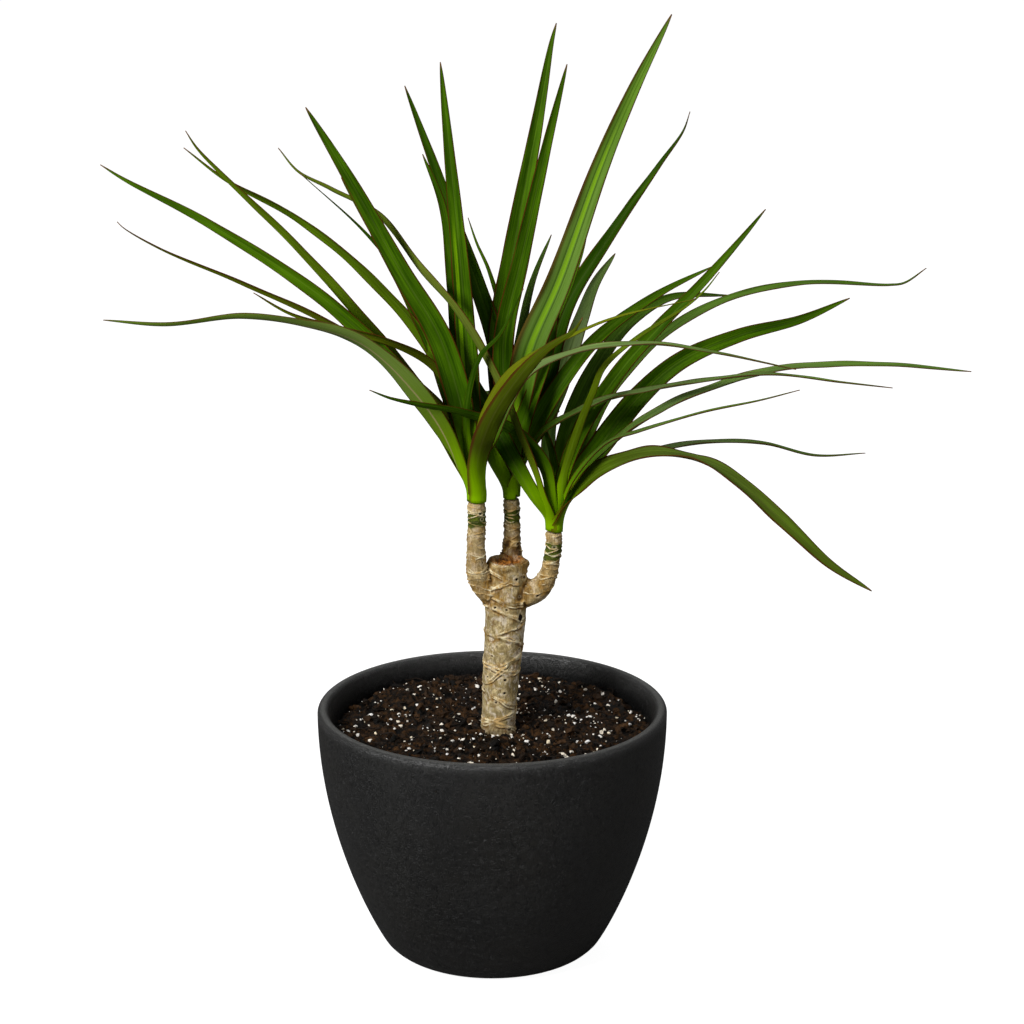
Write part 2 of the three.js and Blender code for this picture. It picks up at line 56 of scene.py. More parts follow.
bl_info = {
    "name": "Potted dracaena",
    "version": (1, 0, 0),
    "blender": (4, 5, 0),
    "location": "View3D > Sidebar > Dracaena",
    "description": "Pot, soil, cane and leaf crowns of a potted dracaena",
    "category": "Add Mesh",
}

MM = 0.001
BODY = "root"
MERGE_WITHIN = 1e-6  # metres within which the points of a turned piece's poles and seam are one
MANY_SMALL = 3.4  # how much rarer large grains are than small ones

# ---- sizes that the CAD model has too, in millimetres ----

GAP = 0.35
POT_HEIGHT = 125
RIM_RADIUS = 85
LIP = 5.5
WALL = 8
LIP_TAPER = 12
FLOOR_THICKNESS = 6
FLAT_RADIUS = 40
HEEL_CORNER = 48
HEEL = (53.5, 6.5)
BELLY_LOW = (57, 11)
BELLY_HIGH = (85, 61)
SOIL_LEVEL = 112
MOUND = 4

CANE = [(2, 0, 100), (2.6, 0, 112), (4.3, 0, 140), (6.5, 0, 172), (7.7, 0, 199)]
CANE_RADII = [8, 8.4, 9.2, 10, 9.2]
BRANCHES = {
    "left": {
        "path": [(4, 0, 181), (-3.6, -2.4, 185.5), (-7.2, -4.6, 194), (-7.6, -5.8, 210), (-7.3, -6, 222),
                 (-7.3, -6, 229.5)],
        "radii": [6, 5.6, 4.7, 4.3, 4.3, 4.2],
    },
    "middle": {
        "path": [(8, 2, 181), (8.8, 8, 186), (9.4, 10.4, 195), (9.5, 10, 210), (9.5, 10, 222),
                 (9.5, 10, 226.5)],
        "radii": [5.5, 5.2, 4.2, 3.8, 3.9, 3.8],
    },
    "right": {
        "path": [(11, 0, 180), (21.5, -1.6, 184), (27.2, -2.8, 193), (29, -3.8, 203), (29.7, -4, 209),
                 (29.7, -4, 214)],
        "radii": [6.4, 5.8, 4.8, 4, 4, 3.8],
    },
}

# Leaves are laid out in front elevation, as they line up for someone who looks from EYE: each point of a
# midrib is (across, height, depth), as in the CAD model. rise: where a leaf leaves the stem, above the
# branch's end. growth: the side of the stem it grows on, in degrees from +X. face: how far the blade is
# turned away from the front along its outer three quarters. flat: the same for a blade that leans back, from
# above. The marks are shares of colour: lit green (painted light and shade), pale (a painted sheen), olive,
# bright stripe (partly painted light, on the lit half of a folded blade), maroon margin, tan rib.
EYE = np.array((9.6, -1600, 690))
SIGHT_TILT = math.radians(16.3)
CAMERA_TILT = math.radians(16.28)
SIGHT = np.array((0, math.cos(SIGHT_TILT), -math.sin(SIGHT_TILT)))
DOWN = np.array((0, 0, -1))
TURN_SHARE = 0.2
ROOT_CLIMB = 0.3  # share of its rise at which a leaf's rolled base starts
SHEATH = 5.0  # length of the base that stands upright against the stem
ROLLED = 1.75  # how far a base reaches round the stem, in radians to either side of its middle
OPENED = 0.5  # the same for an open blade, which stays a shallow channel
ROOT_RING = (1.1, 0.012)  # a base's distance from the axis in branch radii, and how much less per mm of rise
ROOT_SUNK = 0.6  # how far it starts inside the stem
ROOT_WIDTH = 0.72  # share of its width that a blade has at its root
WIDEST = 0.3  # share of its length at which it is full width, and from which it narrows to its tip
NARROWEST = 0.16  # half the width of a tip
CHANNEL = 0.1  # depth of the fold along a midrib, as a share of half the width
RIPPLE = 0.06  # height of the waves in a blade's edges, in the same way
RIPPLE_LENGTHS = (26, 48)


def leaf(rise, growth, width, line, face=None, flat=None, taper=0.62, **marks):
    """One leaf of a crown, and how its colour differs from its neighbours'."""
    look = {"tone": 0.4, "pale": 0.0, "olive": 0.0, "stripe": 0.0, "stripe_at": 0.0, "stripe_end": 1.0,
            "margin": 0.4, "margin_at": 0.0, "rib": 0.06, **marks}
    return {"rise": rise, "growth": growth, "width": width, "line": line, "taper": taper,
            "turns": face or flat, "leans": face is None, "look": look}


LEFT_LEAVES = {
    "far": leaf(6, 150, 8.5, [(-16, 248, -5), (-32, 277.5, -6), (-76.3, 324.6, -8), (-132, 363, -6),
        (-171, 384, -2), (-182, 391, 0)], face=[10, 25], tone=0.5),
    "slim": leaf(12, 140, 7, [(-14, 251, -2), (-43, 295, 2), (-90, 351, 8), (-126, 387, 14),
        (-137, 399, 17), (-142, 407, 18)], face=[30, 35], tone=0.45, olive=0.2),
    "third": leaf(18, 140, 8.5, [(-13, 258, 2), (-25, 296, 6), (-53, 332.8, 16), (-89.3, 364.4, 26),
        (-124, 384, 36), (-143, 399, 41)], face=[40, 62], tone=0.45, olive=0.15),
    "wave": leaf(3, 170, 11.4, [(-16.9, 251, -10), (-32.6, 278.2, -16), (-60, 306.2, -26), (-90, 316, -36),
        (-118, 319, -42), (-154, 315, -46), (-183, 317, -48)], face=[28, 62, 76, 60], tone=1.0, pale=0.4,
        olive=0.25, rib=1.0),
    "big": leaf(20, 110, 13, [(-11, 258, -6), (-24, 307, -4), (-43, 341, 0), (-66, 384, 4), (-86, 418, 8)],
        face=[0], tone=0.35),
    "side": leaf(16, 120, 10.2, [(-13, 258, 6), (-28, 305, 8), (-51, 352, 12), (-70, 385, 14)], face=[20],
        tone=0.3),
    "up": leaf(27, 60, 11, [(-8, 251, 0), (-11, 290, 2), (-14.5, 341, 4), (-19.7, 398, 8),
        (-23.5, 439, 10)], face=[10], tone=0.35, stripe=0.9, stripe_at=0.45, stripe_end=0.66),
    "beside": leaf(24, 110, 9, [(-10, 253, 2), (-15, 293, 8), (-18, 331, 9), (-23, 372, 11),
        (-32, 396, 12)], face=[15], tone=0.3),
    "front": leaf(2, 305, 10.5, [(-7, 244, -14), (-2, 264, -38), (10, 285, -66), (25, 302, -92),
        (39, 312, -108), (43, 318, -112)], face=[0, 10, 50], tone=0.15, margin=1.0, margin_at=-1,
        olive=0.25),
    "over": leaf(8, 300, 9, [(-4, 248, -12), (2, 262, -22), (16, 290, -36), (39, 302, -48), (75, 306, -60),
        (108, 301, -68), (144, 293, -74)], face=[60, 78], tone=0.5, pale=0.6),
    "olive": leaf(12, 260, 5, [(-7, 249, -10), (-3, 272, -22), (11, 294, -34), (43, 312, -44),
        (61, 319, -48), (96, 327, -54)], face=[35, 60], tone=0.55, olive=0.6, taper=1.0),
    "short": leaf(22, 240, 4, [(-12, 263, -6), (-10, 285, -14), (-5, 300, -20), (4, 310, -26),
        (15, 332, -34)], face=[20, 50], tone=0.15),
    "low": leaf(14, 150, 4.6, [(-10, 251, 6), (-20, 270, 12), (-43, 292, 14), (-76, 315, 16),
        (-118, 335, 20), (-155, 351, 24), (-172, 361, 27), (-175, 364, 28)], face=[20, 60], tone=0.1,
        olive=0.3, margin=0.9, margin_at=-1),
    "cross": leaf(12, 120, 6, [(-10, 253, 0), (-17, 278, 4), (-28, 295, 2), (-48, 306, -8), (-69, 312, -14),
        (-95, 320, -18), (-112, 330, -20)], face=[40, 50], tone=0.4, olive=0.4),
    "back": leaf(10, 95, 9, [(-10, 256, 14), (-14, 278, 50), (-13, 292, 85), (-10, 295, 118)],
        flat=[10, 25]),
    "rear": leaf(6.6, 75, 9, [(-9, 253, 14), (-6, 273, 45), (-3, 283, 72), (1, 278, 100)], flat=[10, -20]),
    "wing": leaf(8, 110, 8, [(-12, 253, 12), (-16, 272, 44), (-15, 280, 76), (-12, 273, 108)], flat=[20]),
}
MIDDLE_LEAVES = {
    "tall": leaf(22, 90, 12.4, [(7, 258, 14), (3.8, 305, 16), (10.1, 350, 22), (21.5, 412, 30),
        (27.6, 447, 35), (30, 457, 36)], face=[0], tone=0.4, margin=0.6),
    "pair": leaf(24, 70, 10.5, [(9, 258, 10), (5.5, 305, 8), (14, 347, 6), (25.3, 398, 4), (35, 438, 2)],
        face=[0], tone=0.35, margin=0.6),
    "bright": leaf(18, 60, 14.5, [(10, 258, 4), (17, 300, -6), (31.7, 336, -14), (50.6, 390, -20),
        (65.5, 425.5, -24), (83, 461, -26)], face=[0], tone=0.85, stripe=1.0, stripe_end=0.8, margin=0.9,
        margin_at=1, pale=0.32),
    "dark": leaf(14, 70, 11, [(13, 256, 8), (24, 285, 10), (35, 324, 12), (53, 354, 16), (78, 391, 24),
        (89, 407, 29), (92, 416, 30)], face=[0, 40], tone=0.1, margin=0.6, taper=0.85),
    "behind": leaf(26, 90, 7, [(9, 258, 20), (13, 305, 34), (19, 335, 44), (28, 358, 56)], face=[20],
        tone=0.45, pale=0.3),
    "pale": leaf(16, 80, 12.5, [(14, 253, 18), (29, 280, 30), (41.8, 316, 44), (48.4, 334, 52),
        (58, 349, 62)], face=[0], tone=0.4, pale=0.8),
    "tiny": leaf(20, 60, 4, [(12, 258, 10), (26, 305, 4), (38, 336, 4), (43, 352, 4), (46, 368, 6)],
        face=[0]),
    "lean": leaf(16, 120, 10, [(6, 263, 14), (3, 302, 16), (-6, 332, 18), (-17.4, 364, 20),
        (-26.7, 391, 22), (-40, 428, 26)], face=[0], tone=0.25),
    "thread": leaf(26, 100, 4, [(8, 263, 22), (6, 312, 34), (-1, 340, 40), (-7, 354, 44), (-11, 366, 46)],
        face=[20]),
    "flare": leaf(3, 205, 9, [(3, 244, 8), (-1, 255, 10), (-8, 279, 22), (-14, 302, 34), (-16, 318, 44)],
        face=[30], tone=1.0, margin=0.7),
    "right": leaf(6, 325, 8, [(14, 246, 2), (22, 261, -8), (33, 269, -14), (51, 278, -20), (94, 287, -36),
        (132, 291, -46), (165, 287, -51), (190, 284, -54)], face=[70, 75], tone=0.5, pale=0.5),
    "arch": leaf(10, 60, 9, [(14, 251, 8), (25, 274, 4), (40, 297, 6), (55, 313, 10), (79, 330, 16),
        (104, 343, 22)], face=[10, 30]),
    "inner": leaf(16, 50, 10, [(12, 258, 2), (19, 280, -2), (27, 302, 0), (31, 324, 4)], face=[10],
        tone=0.5, margin=0.7),
    "deep": leaf(20, 80, 9, [(10, 258, 16), (14, 282, 26), (21, 305, 36), (25, 318, 44)], face=[10],
        tone=0.5),
    "back": leaf(10, 90, 9, [(10, 258, 34), (11, 282, 66), (14, 294, 100), (19, 290, 135)], flat=[10, 25]),
    "rear": leaf(6, 105, 9, [(7, 258, 30), (5, 282, 66), (7, 296, 100), (5, 292, 132)], flat=[-10, -25]),
    "wing": leaf(8, 70, 9, [(13, 258, 30), (21, 285, 58), (29, 297, 86), (37, 295, 116)], flat=[20]),
}
RIGHT_LEAVES = {
    "back_left": leaf(5, 200, 9, [(23, 237, -12), (14, 261, -14), (3.5, 287.5, -13), (-15.2, 321, -12),
        (-32.2, 341, 6), (-52, 367, 22), (-75, 380, 30), (-90, 388, 34), (-99, 399, 36)], face=[70, 60, 62],
        tone=0.5, olive=0.4, pale=0.15),
    "dark_left": leaf(6, 210, 10, [(20, 231, -10), (7, 255, -6), (-6, 280, 12), (-20, 305, 22),
        (-38, 333, 26), (-59, 359, 28), (-89, 387, 30)], face=[20, 60], tone=0.2, margin=0.6, taper=1.3),
    "low_left": leaf(8, 230, 8, [(26, 244, -10), (15, 260, -11), (4, 267, -10), (-6, 270, -12),
        (-17, 273, -18), (-34, 276, -26), (-48, 279, -30), (-58, 283, -30)], face=[40, 60], tone=0.4),
    "wide": leaf(8, 40, 11.5, [(36, 233, -6), (51, 255, -6), (70, 280, -6), (89, 297, -4), (117, 309.6, 0),
        (145.2, 317.2, 4), (168.5, 327.5, 8)], face=[0], tone=0.35, margin=0.6),
    "long": leaf(5, 10, 9, [(38, 235, -12), (54, 255, -20), (80, 274, -26), (108, 286, -30),
        (136, 293.7, -34), (184, 295.7, -40), (227, 292, -46)], face=[72, 60, 50], tone=0.5, pale=0.4),
    "thin": leaf(6, 340, 5, [(37, 236, -18), (54, 257, -30), (70, 263, -38), (99, 272, -46),
        (127, 278, -52), (146, 283, -56)], face=[72], tone=0.5, pale=0.3),
    "flat": leaf(4, 20, 8, [(37, 234, 4), (52, 247, 10), (78, 254, 16), (104, 258, 22), (130, 257, 26),
        (154, 251, 30), (178, 252, 32)], face=[72, 72], tone=0.5, pale=0.5),
    "droop": leaf(2, 350, 13, [(36, 229, -14), (51, 244, -26), (71, 252, -40), (90, 252, -50),
        (109.4, 244.8, -58), (138, 220, -68), (162, 197, -75), (183, 183, -80)], face=[55, 75, 15, 0],
        tone=0.35, olive=0.2, pale=0.12, margin=0.9, margin_at=-1),
    "diagonal": leaf(14, 50, 8.5, [(33, 236, -4), (42, 263, -8), (61, 293, -10), (79, 314, -12),
        (98, 334, -14), (116, 355, -16), (128, 370, -16)], face=[20, 0]),
    "kinked": leaf(10, 30, 8.5, [(34, 235, 8), (44, 258, 14), (59, 287, 20), (81, 310.2, 24),
        (107, 326, 28), (145, 335, 32), (187, 334, 37), (194, 335, 38), (204, 342, 40)], face=[45, 55, 60],
        tone=0.45, pale=0.15),
    "olive": leaf(12, 320, 4.5, [(34, 239, -12), (42, 266, -28), (48, 282, -34), (53, 294, -36),
        (68, 308, -36), (91, 323, -36), (100, 331, -36), (107, 340, -36)], face=[20, 60], tone=0.5,
        olive=0.3),
    "deep": leaf(16, 70, 10, [(31, 234, 2), (34, 253, 8), (41, 277, 14), (53, 301, 20), (66, 317, 26),
        (84, 328, 34), (112, 329, 40)], face=[0, 40], tone=0.35, pale=0.1),
    "spur": leaf(18, 130, 6, [(30, 239, 0), (29, 251, 2), (26, 261, 6), (23, 269, 10)], face=[30],
        tone=0.3),
    "rear": leaf(8, 75, 9, [(32, 236, 14), (36, 257, 44), (43, 268, 78), (51, 268, 112)], flat=[10, 25]),
    "tail": leaf(6, 95, 9, [(29, 236, 14), (27, 256, 44), (29, 271, 76), (32, 273, 108)], flat=[-10, -25]),
    "wing": leaf(10, 60, 8, [(33, 239, 12), (41, 259, 36), (48, 272, 62), (53, 277, 90)], flat=[20]),
}
LEAVES = {"left": LEFT_LEAVES, "middle": MIDDLE_LEAVES, "right": RIGHT_LEAVES}

# ---- small helpers ----


def paint(code):
    """A colour written as #rrggbb, as the linear RGBA that Blender mixes."""
    shares = [int(code[i:i + 2], 16) / 255 for i in (1, 3, 5)]
    return tuple(s / 12.92 if s <= 0.04045 else ((s + 0.055) / 1.055) ** 2.4 for s in shares) + (1.0,)


def ease(share):
    share = np.clip(share, 0, 1)
    return share * share * (3 - 2 * share)


def unit(vectors):
    return vectors / np.linalg.norm(vectors, axis=-1, keepdims=True)


def bell(gap):
    return np.exp(-gap ** 2)


def lumps(points, size, seed):
    """Smooth noise between -1 and 1 whose lumps are about `size` across, at each point."""
    side = 32
    table = np.random.default_rng(seed).uniform(-1, 1, (side, side, side))
    place = np.asarray(points, float) / size
    cell = np.floor(place).astype(int)
    part = ease(place - cell)
    total = np.zeros(len(place))
    for corner in itertools.product((0, 1), repeat=3):
        weight = np.prod(np.where(corner, part, 1 - part), axis=1)
        total += weight * table[tuple(((cell + corner) % side).T)]
    return total


def ridges(points, size, seed, sharpness):
    """Thin crests, up to 1, along the lines where such noise is zero."""
    return (1 - np.abs(lumps(points, size, seed))) ** sharpness


def smooth_path(points, spacing):
    """Evenly spaced points on the smooth curve through the given ones."""
    points = np.asarray(points, float)
    ends = np.vstack([2 * points[0] - points[1], points, 2 * points[-1] - points[-2]])
    share = np.linspace(0, 1, 40, endpoint=False)[:, None]
    pieces = []
    for a, b, c, d in zip(ends, ends[1:], ends[2:], ends[3:]):
        before, inside, after = (math.sqrt(np.linalg.norm(q - p)) for p, q in ((a, b), (b, c), (c, d)))
        leave = inside * ((b - a) / before - (c - a) / (before + inside) + (c - b) / inside)
        arrive = inside * ((c - b) / inside - (d - b) / (inside + after) + (d - c) / after)
        pieces.append(b + leave * share + (3 * (c - b) - 2 * leave - arrive) * share ** 2
                      + (2 * (b - c) + leave + arrive) * share ** 3)
    dense = np.vstack([*pieces, points[-1:]])
    far = np.concatenate([[0], np.cumsum(np.linalg.norm(np.diff(dense, axis=0), axis=1))])
    even = np.linspace(0, far[-1], math.ceil(far[-1] / spacing) + 1)
    return np.column_stack([np.interp(even, far, dense[:, axis]) for axis in range(3)]), even


def bezier(points, count):
    """Points on the Bezier curve with two or more control points, ends included."""
    share = np.linspace(0, 1, count + 1)[:, None]
    row = [np.asarray(p, float) * np.ones_like(share) for p in points]
    while len(row) > 1:
        row = [p + (q - p) * share for p, q in zip(row, row[1:])]
    return row[0]


def ring_of(sides):
    angle = np.arange(sides) * math.tau / sides
    return np.column_stack([np.cos(angle), np.sin(angle)])


def band(first, second, sides):
    """The faces between two rings of points, each ring named by the number of its first point."""
    return [(first + k, first + (k + 1) % sides, second + (k + 1) % sides, second + k) for k in range(sides)]


def bands(rings, sides):
    return [face for i in range(rings - 1) for face in band(i * sides, (i + 1) * sides, sides)]


def mesh_object(name, points, faces=(), edges=(), attributes=None):
    """A mesh object at the origin, in metres, with a number or vector stored at each point."""
    mesh = bpy.data.meshes.new(name)
    mesh.from_pydata(np.asarray(points).tolist(), [tuple(e) for e in edges], [tuple(f) for f in faces])
    for key, values in (attributes or {}).items():
        store(mesh, key, values)
    mesh.update()
    thing = bpy.data.objects.new(name, mesh)
    bpy.context.scene.collection.objects.link(thing)
    return thing


def store(mesh, key, values):
    values = np.asarray(values, dtype=np.float32)
    vector = values.ndim == 2
    layer = mesh.attributes.new(key, "FLOAT_VECTOR" if vector else "FLOAT", "POINT")
    layer.data.foreach_set("vector" if vector else "value", values.ravel())


def vectors_of(mesh, key):
    """The places or normals of a mesh's points."""
    values = np.empty(len(mesh.vertices) * 3, dtype=np.float32)
    mesh.vertices.foreach_get(key, values)
    return values.reshape(-1, 3).astype(float)


def settle(thing, name, smooth=True):
    """Turns an object with its modifiers into a plain mesh object with the given name."""
    shaped = thing.evaluated_get(bpy.context.evaluated_depsgraph_get())
    mesh = bpy.data.meshes.new_from_object(shaped)
    for key in [a.name for a in mesh.attributes if a.name.startswith("guide_")]:
        mesh.attributes.remove(mesh.attributes[key])
    bpy.data.objects.remove(thing)
    mesh.name = name
    made = bpy.data.objects.new(name, mesh)
    bpy.context.scene.collection.objects.link(made)
    if smooth:
        made.data.shade_smooth()
    else:
        made.data.shade_flat()
    return made


def finish_piece(piece, materials=(), stands_for=()):
    """Gives a piece its materials, and says what it rides on and stands for."""
    if materials:
        piece.data.materials.clear()
        for material in materials:
            piece.data.materials.append(material)
    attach(piece, BODY)
    if stands_for:
        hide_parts(*stands_for)


class Value:
    """What a node puts out. Sums of such values are written as sums, and each sign becomes a Math node."""

    def __init__(self, nodes, socket):
        self.nodes = nodes
        self.socket = socket


def worked(operation, reflected=False):
    """A method of Value that works out one sign, from either side of it."""

    def apply(self, other):
        pair = (other, self) if reflected else (self, other)
        return self.nodes.math(operation, *pair)

    return apply


SIGNS = {"add": "ADD", "sub": "SUBTRACT", "mul": "MULTIPLY", "truediv": "DIVIDE", "pow": "POWER"}
for sign, operation in SIGNS.items():
    setattr(Value, f"__{sign}__", worked(operation))
    setattr(Value, f"__r{sign}__", worked(operation, reflected=True))


class Nodes:
    """Adds nodes to a tree, and links or sets their inputs by name."""

    def __init__(self, tree):
        self.tree = tree

    def feed(self, socket, value):
        if isinstance(value, str) and value.startswith("#"):
            value = paint(value)
        if isinstance(value, bpy.types.Node):
            value = value.outputs[0]
        if isinstance(value, Value):
            value = value.socket
        if isinstance(value, bpy.types.NodeSocket):
            self.tree.links.new(value, socket)
        else:
            socket.default_value = value

    def add(self, kind, **values):
        """A new node. Names with a capital are its inputs, with _ for a space, and others its settings."""
        node = self.tree.nodes.new(kind)
        for name, value in values.items():
            if name[0].islower():
                setattr(node, name, value)
        for name, value in values.items():
            if name[0].isupper():
                self.feed(node.inputs[name.replace("_", " ")], value)
        return node

    def math(self, operation, *values):
        node = self.add("ShaderNodeMath", operation=operation)
        for socket, value in zip(node.inputs, values):
            self.feed(socket, value)
        return Value(self, node.outputs[0])

    def vector(self, operation, one, other):
        node = self.add("ShaderNodeVectorMath", operation=operation)
        self.feed(node.inputs[0], one)
        self.feed(node.inputs["Scale" if operation == "SCALE" else 1], other)
        return Value(self, node.outputs["Vector"])

    def xyz(self, x=0.0, y=0.0, z=0.0):
        return self.add("ShaderNodeCombineXYZ", X=x, Y=y, Z=z)

    def parts(self, vector):
        return [Value(self, part) for part in self.add("ShaderNodeSeparateXYZ", Vector=vector).outputs]

    def mix(self, share, one, other, blend="MIX"):
        node = self.add("ShaderNodeMix", data_type="RGBA", blend_type=blend)
        for index, value in ((0, share), (6, one), (7, other)):
            self.feed(node.inputs[index], value)
        return Value(self, node.outputs[2])

    def layers(self, colour, *coats):
        """A colour with others laid over it in turn, each as (how much of it shows, colour)."""
        for share, coat in coats:
            colour = self.mix(share, colour, coat)
        return colour

    def between(self, value, low, high, start=0.0, end=1.0):
        """Eases from start to end as the value goes from low to high."""
        node = self.add("ShaderNodeMapRange", interpolation_type="SMOOTHSTEP", Value=value, From_Min=low,
                        From_Max=high, To_Min=start, To_Max=end)
        return Value(self, node.outputs["Result"])

    def noise(self, vector, scale, detail, roughness, distortion=0.0):
        return Value(self, self.add("ShaderNodeTexNoise", Vector=vector, Scale=scale, Detail=detail,
                                    Roughness=roughness, Distortion=distortion).outputs[0])

    def contour(self, swirl, count, width):
        """Thin closed lines along the levels of a noise: 0 on a line, and 1 from `width` beside it."""
        return self.between(self.math("PINGPONG", swirl * count, 0.5), 0.0, width)

    def stored(self, key):
        """A number that the piece's own points hold."""
        return Value(self, self.add("ShaderNodeAttribute", attribute_name=key).outputs["Fac"])

    def place(self):
        return Value(self, self.add("ShaderNodeTexCoord").outputs["Object"])

    def seen(self):
        """1 where the camera looks, and 0 for light that bounces."""
        return Value(self, self.add("ShaderNodeLightPath").outputs["Is Camera Ray"])

    def bump(self, height, strength, distance):
        return self.add("ShaderNodeBump", Height=height, Strength=strength, Distance=distance)

    def geo(self, kind, **values):
        return self.add("GeometryNode" + kind, **values)

    def named(self, key, kind="FLOAT"):
        """What the points of a geometry tree hold under a name."""
        return Value(self, self.geo("InputNamedAttribute", data_type=kind, Name=key).outputs["Attribute"])

    def keep(self, shape, key, value, domain="POINT"):
        return self.geo("StoreNamedAttribute", data_type="FLOAT", domain=domain, Geometry=shape, Name=key,
                        Value=value)

    def chance(self, low, high, seed):
        """A random number, or a random vector, for each point."""
        vector = isinstance(low, tuple)
        node = self.add("FunctionNodeRandomValue", data_type="FLOAT_VECTOR" if vector else "FLOAT", Seed=seed)
        for index, value in enumerate((low, high), 0 if vector else 2):
            self.feed(node.inputs[index], value)
        return Value(self, node.outputs[0 if vector else 1])

    def drift(self, scale, detail, middle):
        """A vector that changes smoothly from place to place: a colour noise less its middle."""
        noise = self.add("ShaderNodeTexNoise", Vector=self.geo("InputPosition"), Scale=scale, Detail=detail)
        return self.vector("SUBTRACT", noise.outputs["Color"], middle)

    def strewn(self, given):
        """Points strewn over the ground that a tree is given."""
        node = self.geo("DistributePointsOnFaces", distribute_method="POISSON", Mesh=given["Ground"],
                        Distance_Min=given["Spacing"], Density_Max=given["Density"], Seed=given["Seed"])
        return node.outputs["Points"]

    def dress(self, shape, material):
        """The end of every geometry tree: one real mesh, with its material."""
        real = self.geo("RealizeInstances", Geometry=shape)
        return self.geo("SetMaterial", Geometry=real, Material=material)


def group_tree(name, kind, inputs, outputs):
    """A node group, its Nodes, its inputs and a function that sets its outputs.

    A number is a socket's default, and a word is a socket's kind.
    """
    tree = bpy.data.node_groups.new(name, kind)
    for label, default in inputs.items():
        word = default if isinstance(default, str) else type(default).__name__.title()
        made = tree.interface.new_socket(label, in_out="INPUT", socket_type="NodeSocket" + word)
        if word != default:
            made.default_value = default
    for label, word in outputs.items():
        tree.interface.new_socket(label, in_out="OUTPUT", socket_type="NodeSocket" + word)
    nodes = Nodes(tree)
    given = {socket.name: Value(nodes, socket) for socket in nodes.add("NodeGroupInput").outputs}
    out = nodes.add("NodeGroupOutput")

    def put(**values):
        for label, value in values.items():
            nodes.feed(out.inputs[label], value)

    return tree, nodes, given, put


def use_tree(thing, tree, **values):
    """Puts a geometry tree on an object, with its named inputs set."""
    modifier = thing.modifiers.new(tree.name, "NODES")
    modifier.node_group = tree
    sockets = {item.name: item.identifier for item in tree.interface.items_tree if item.in_out == "INPUT"}
    for label, value in values.items():
        modifier[sockets[label.replace("_", " ")]] = value


def new_material(name):
    """A new material's Nodes, and a function that feeds its Principled BSDF and returns the material."""
    material = bpy.data.materials.new(name)
    material.use_nodes = True
    nodes = Nodes(material.node_tree)
    shader = material.node_tree.nodes["Principled BSDF"]

    def skin(**values):
        for label, value in values.items():
            nodes.feed(shader.inputs[label.replace("_", " ")], value)
        return material

    return nodes, skin


# ---- shader groups ----


def shared(n, name, build, **values):
    """Places a shared effect in a material, built the first time it is used, and gives what it puts out."""
    tree = bpy.data.node_groups.get(name) or build(name)
    return [Value(n, socket) for socket in n.add("ShaderNodeGroup", node_tree=tree, **values).outputs]


def mottle_group(name):
    tree, n, given, put = group_tree(
        name, "ShaderNodeTree", {"Vector": "Vector", "Blotch": 100.0, "Speck": 800.0, "Speck share": 0.4},
        {"Mask": "Float", "Height": "Float"})
    blotch = n.noise(given["Vector"], given["Blotch"], 4.0, 0.6, 0.4)
    speck = n.noise(given["Vector"], given["Speck"], 2.0, 0.6)
    both = (speck - 0.5) * given["Speck share"] + blotch
    put(Mask=n.between(both, 0.3, 0.7), Height=both)
    return tree


def mottle(n, vector, blotch, speck, share):
    """Soft blotches with finer specks in them, each so many to the metre: a mask for colour, and a height."""
    return shared(n, "mottle", mottle_group, Vector=vector, Blotch=blotch, Speck=speck, Speck_share=share)


# ---- geometry trees ----


def turned_tree():
    """Turns a profile, drawn in the XZ plane, once round the upright axis."""
    tree, n, given, put = group_tree(
        "turned", "GeometryNodeTree", {"Profile": "Geometry", "Sides": 160, "Material": "Material"},
        {"Turned": "Geometry"})
    circle = n.geo("CurvePrimitiveCircle", Resolution=given["Sides"], Radius=MM)
    count = n.geo("AttributeDomainSize", component="CURVE", Geometry=circle).outputs["Point Count"]
    circle = n.keep(circle, "guide_turn", n.math("DIVIDE", n.geo("InputIndex"), count))
    profile = n.geo("MeshToCurve", Mesh=given["Profile"])
    skin = n.geo("CurveToMesh", Curve=circle, Profile_Curve=profile)
    radius, _, height = n.parts(n.named("guide_place", "FLOAT_VECTOR"))
    angle = n.named("guide_turn") * math.tau
    spot = n.xyz(radius * n.math("COSINE", angle), radius * n.math("SINE", angle), height)
    skin = n.geo("SetPosition", Geometry=skin, Position=spot)
    skin = n.geo("MergeByDistance", Geometry=skin, Distance=MERGE_WITHIN)
    put(Turned=n.dress(skin, given["Material"]))
    return tree


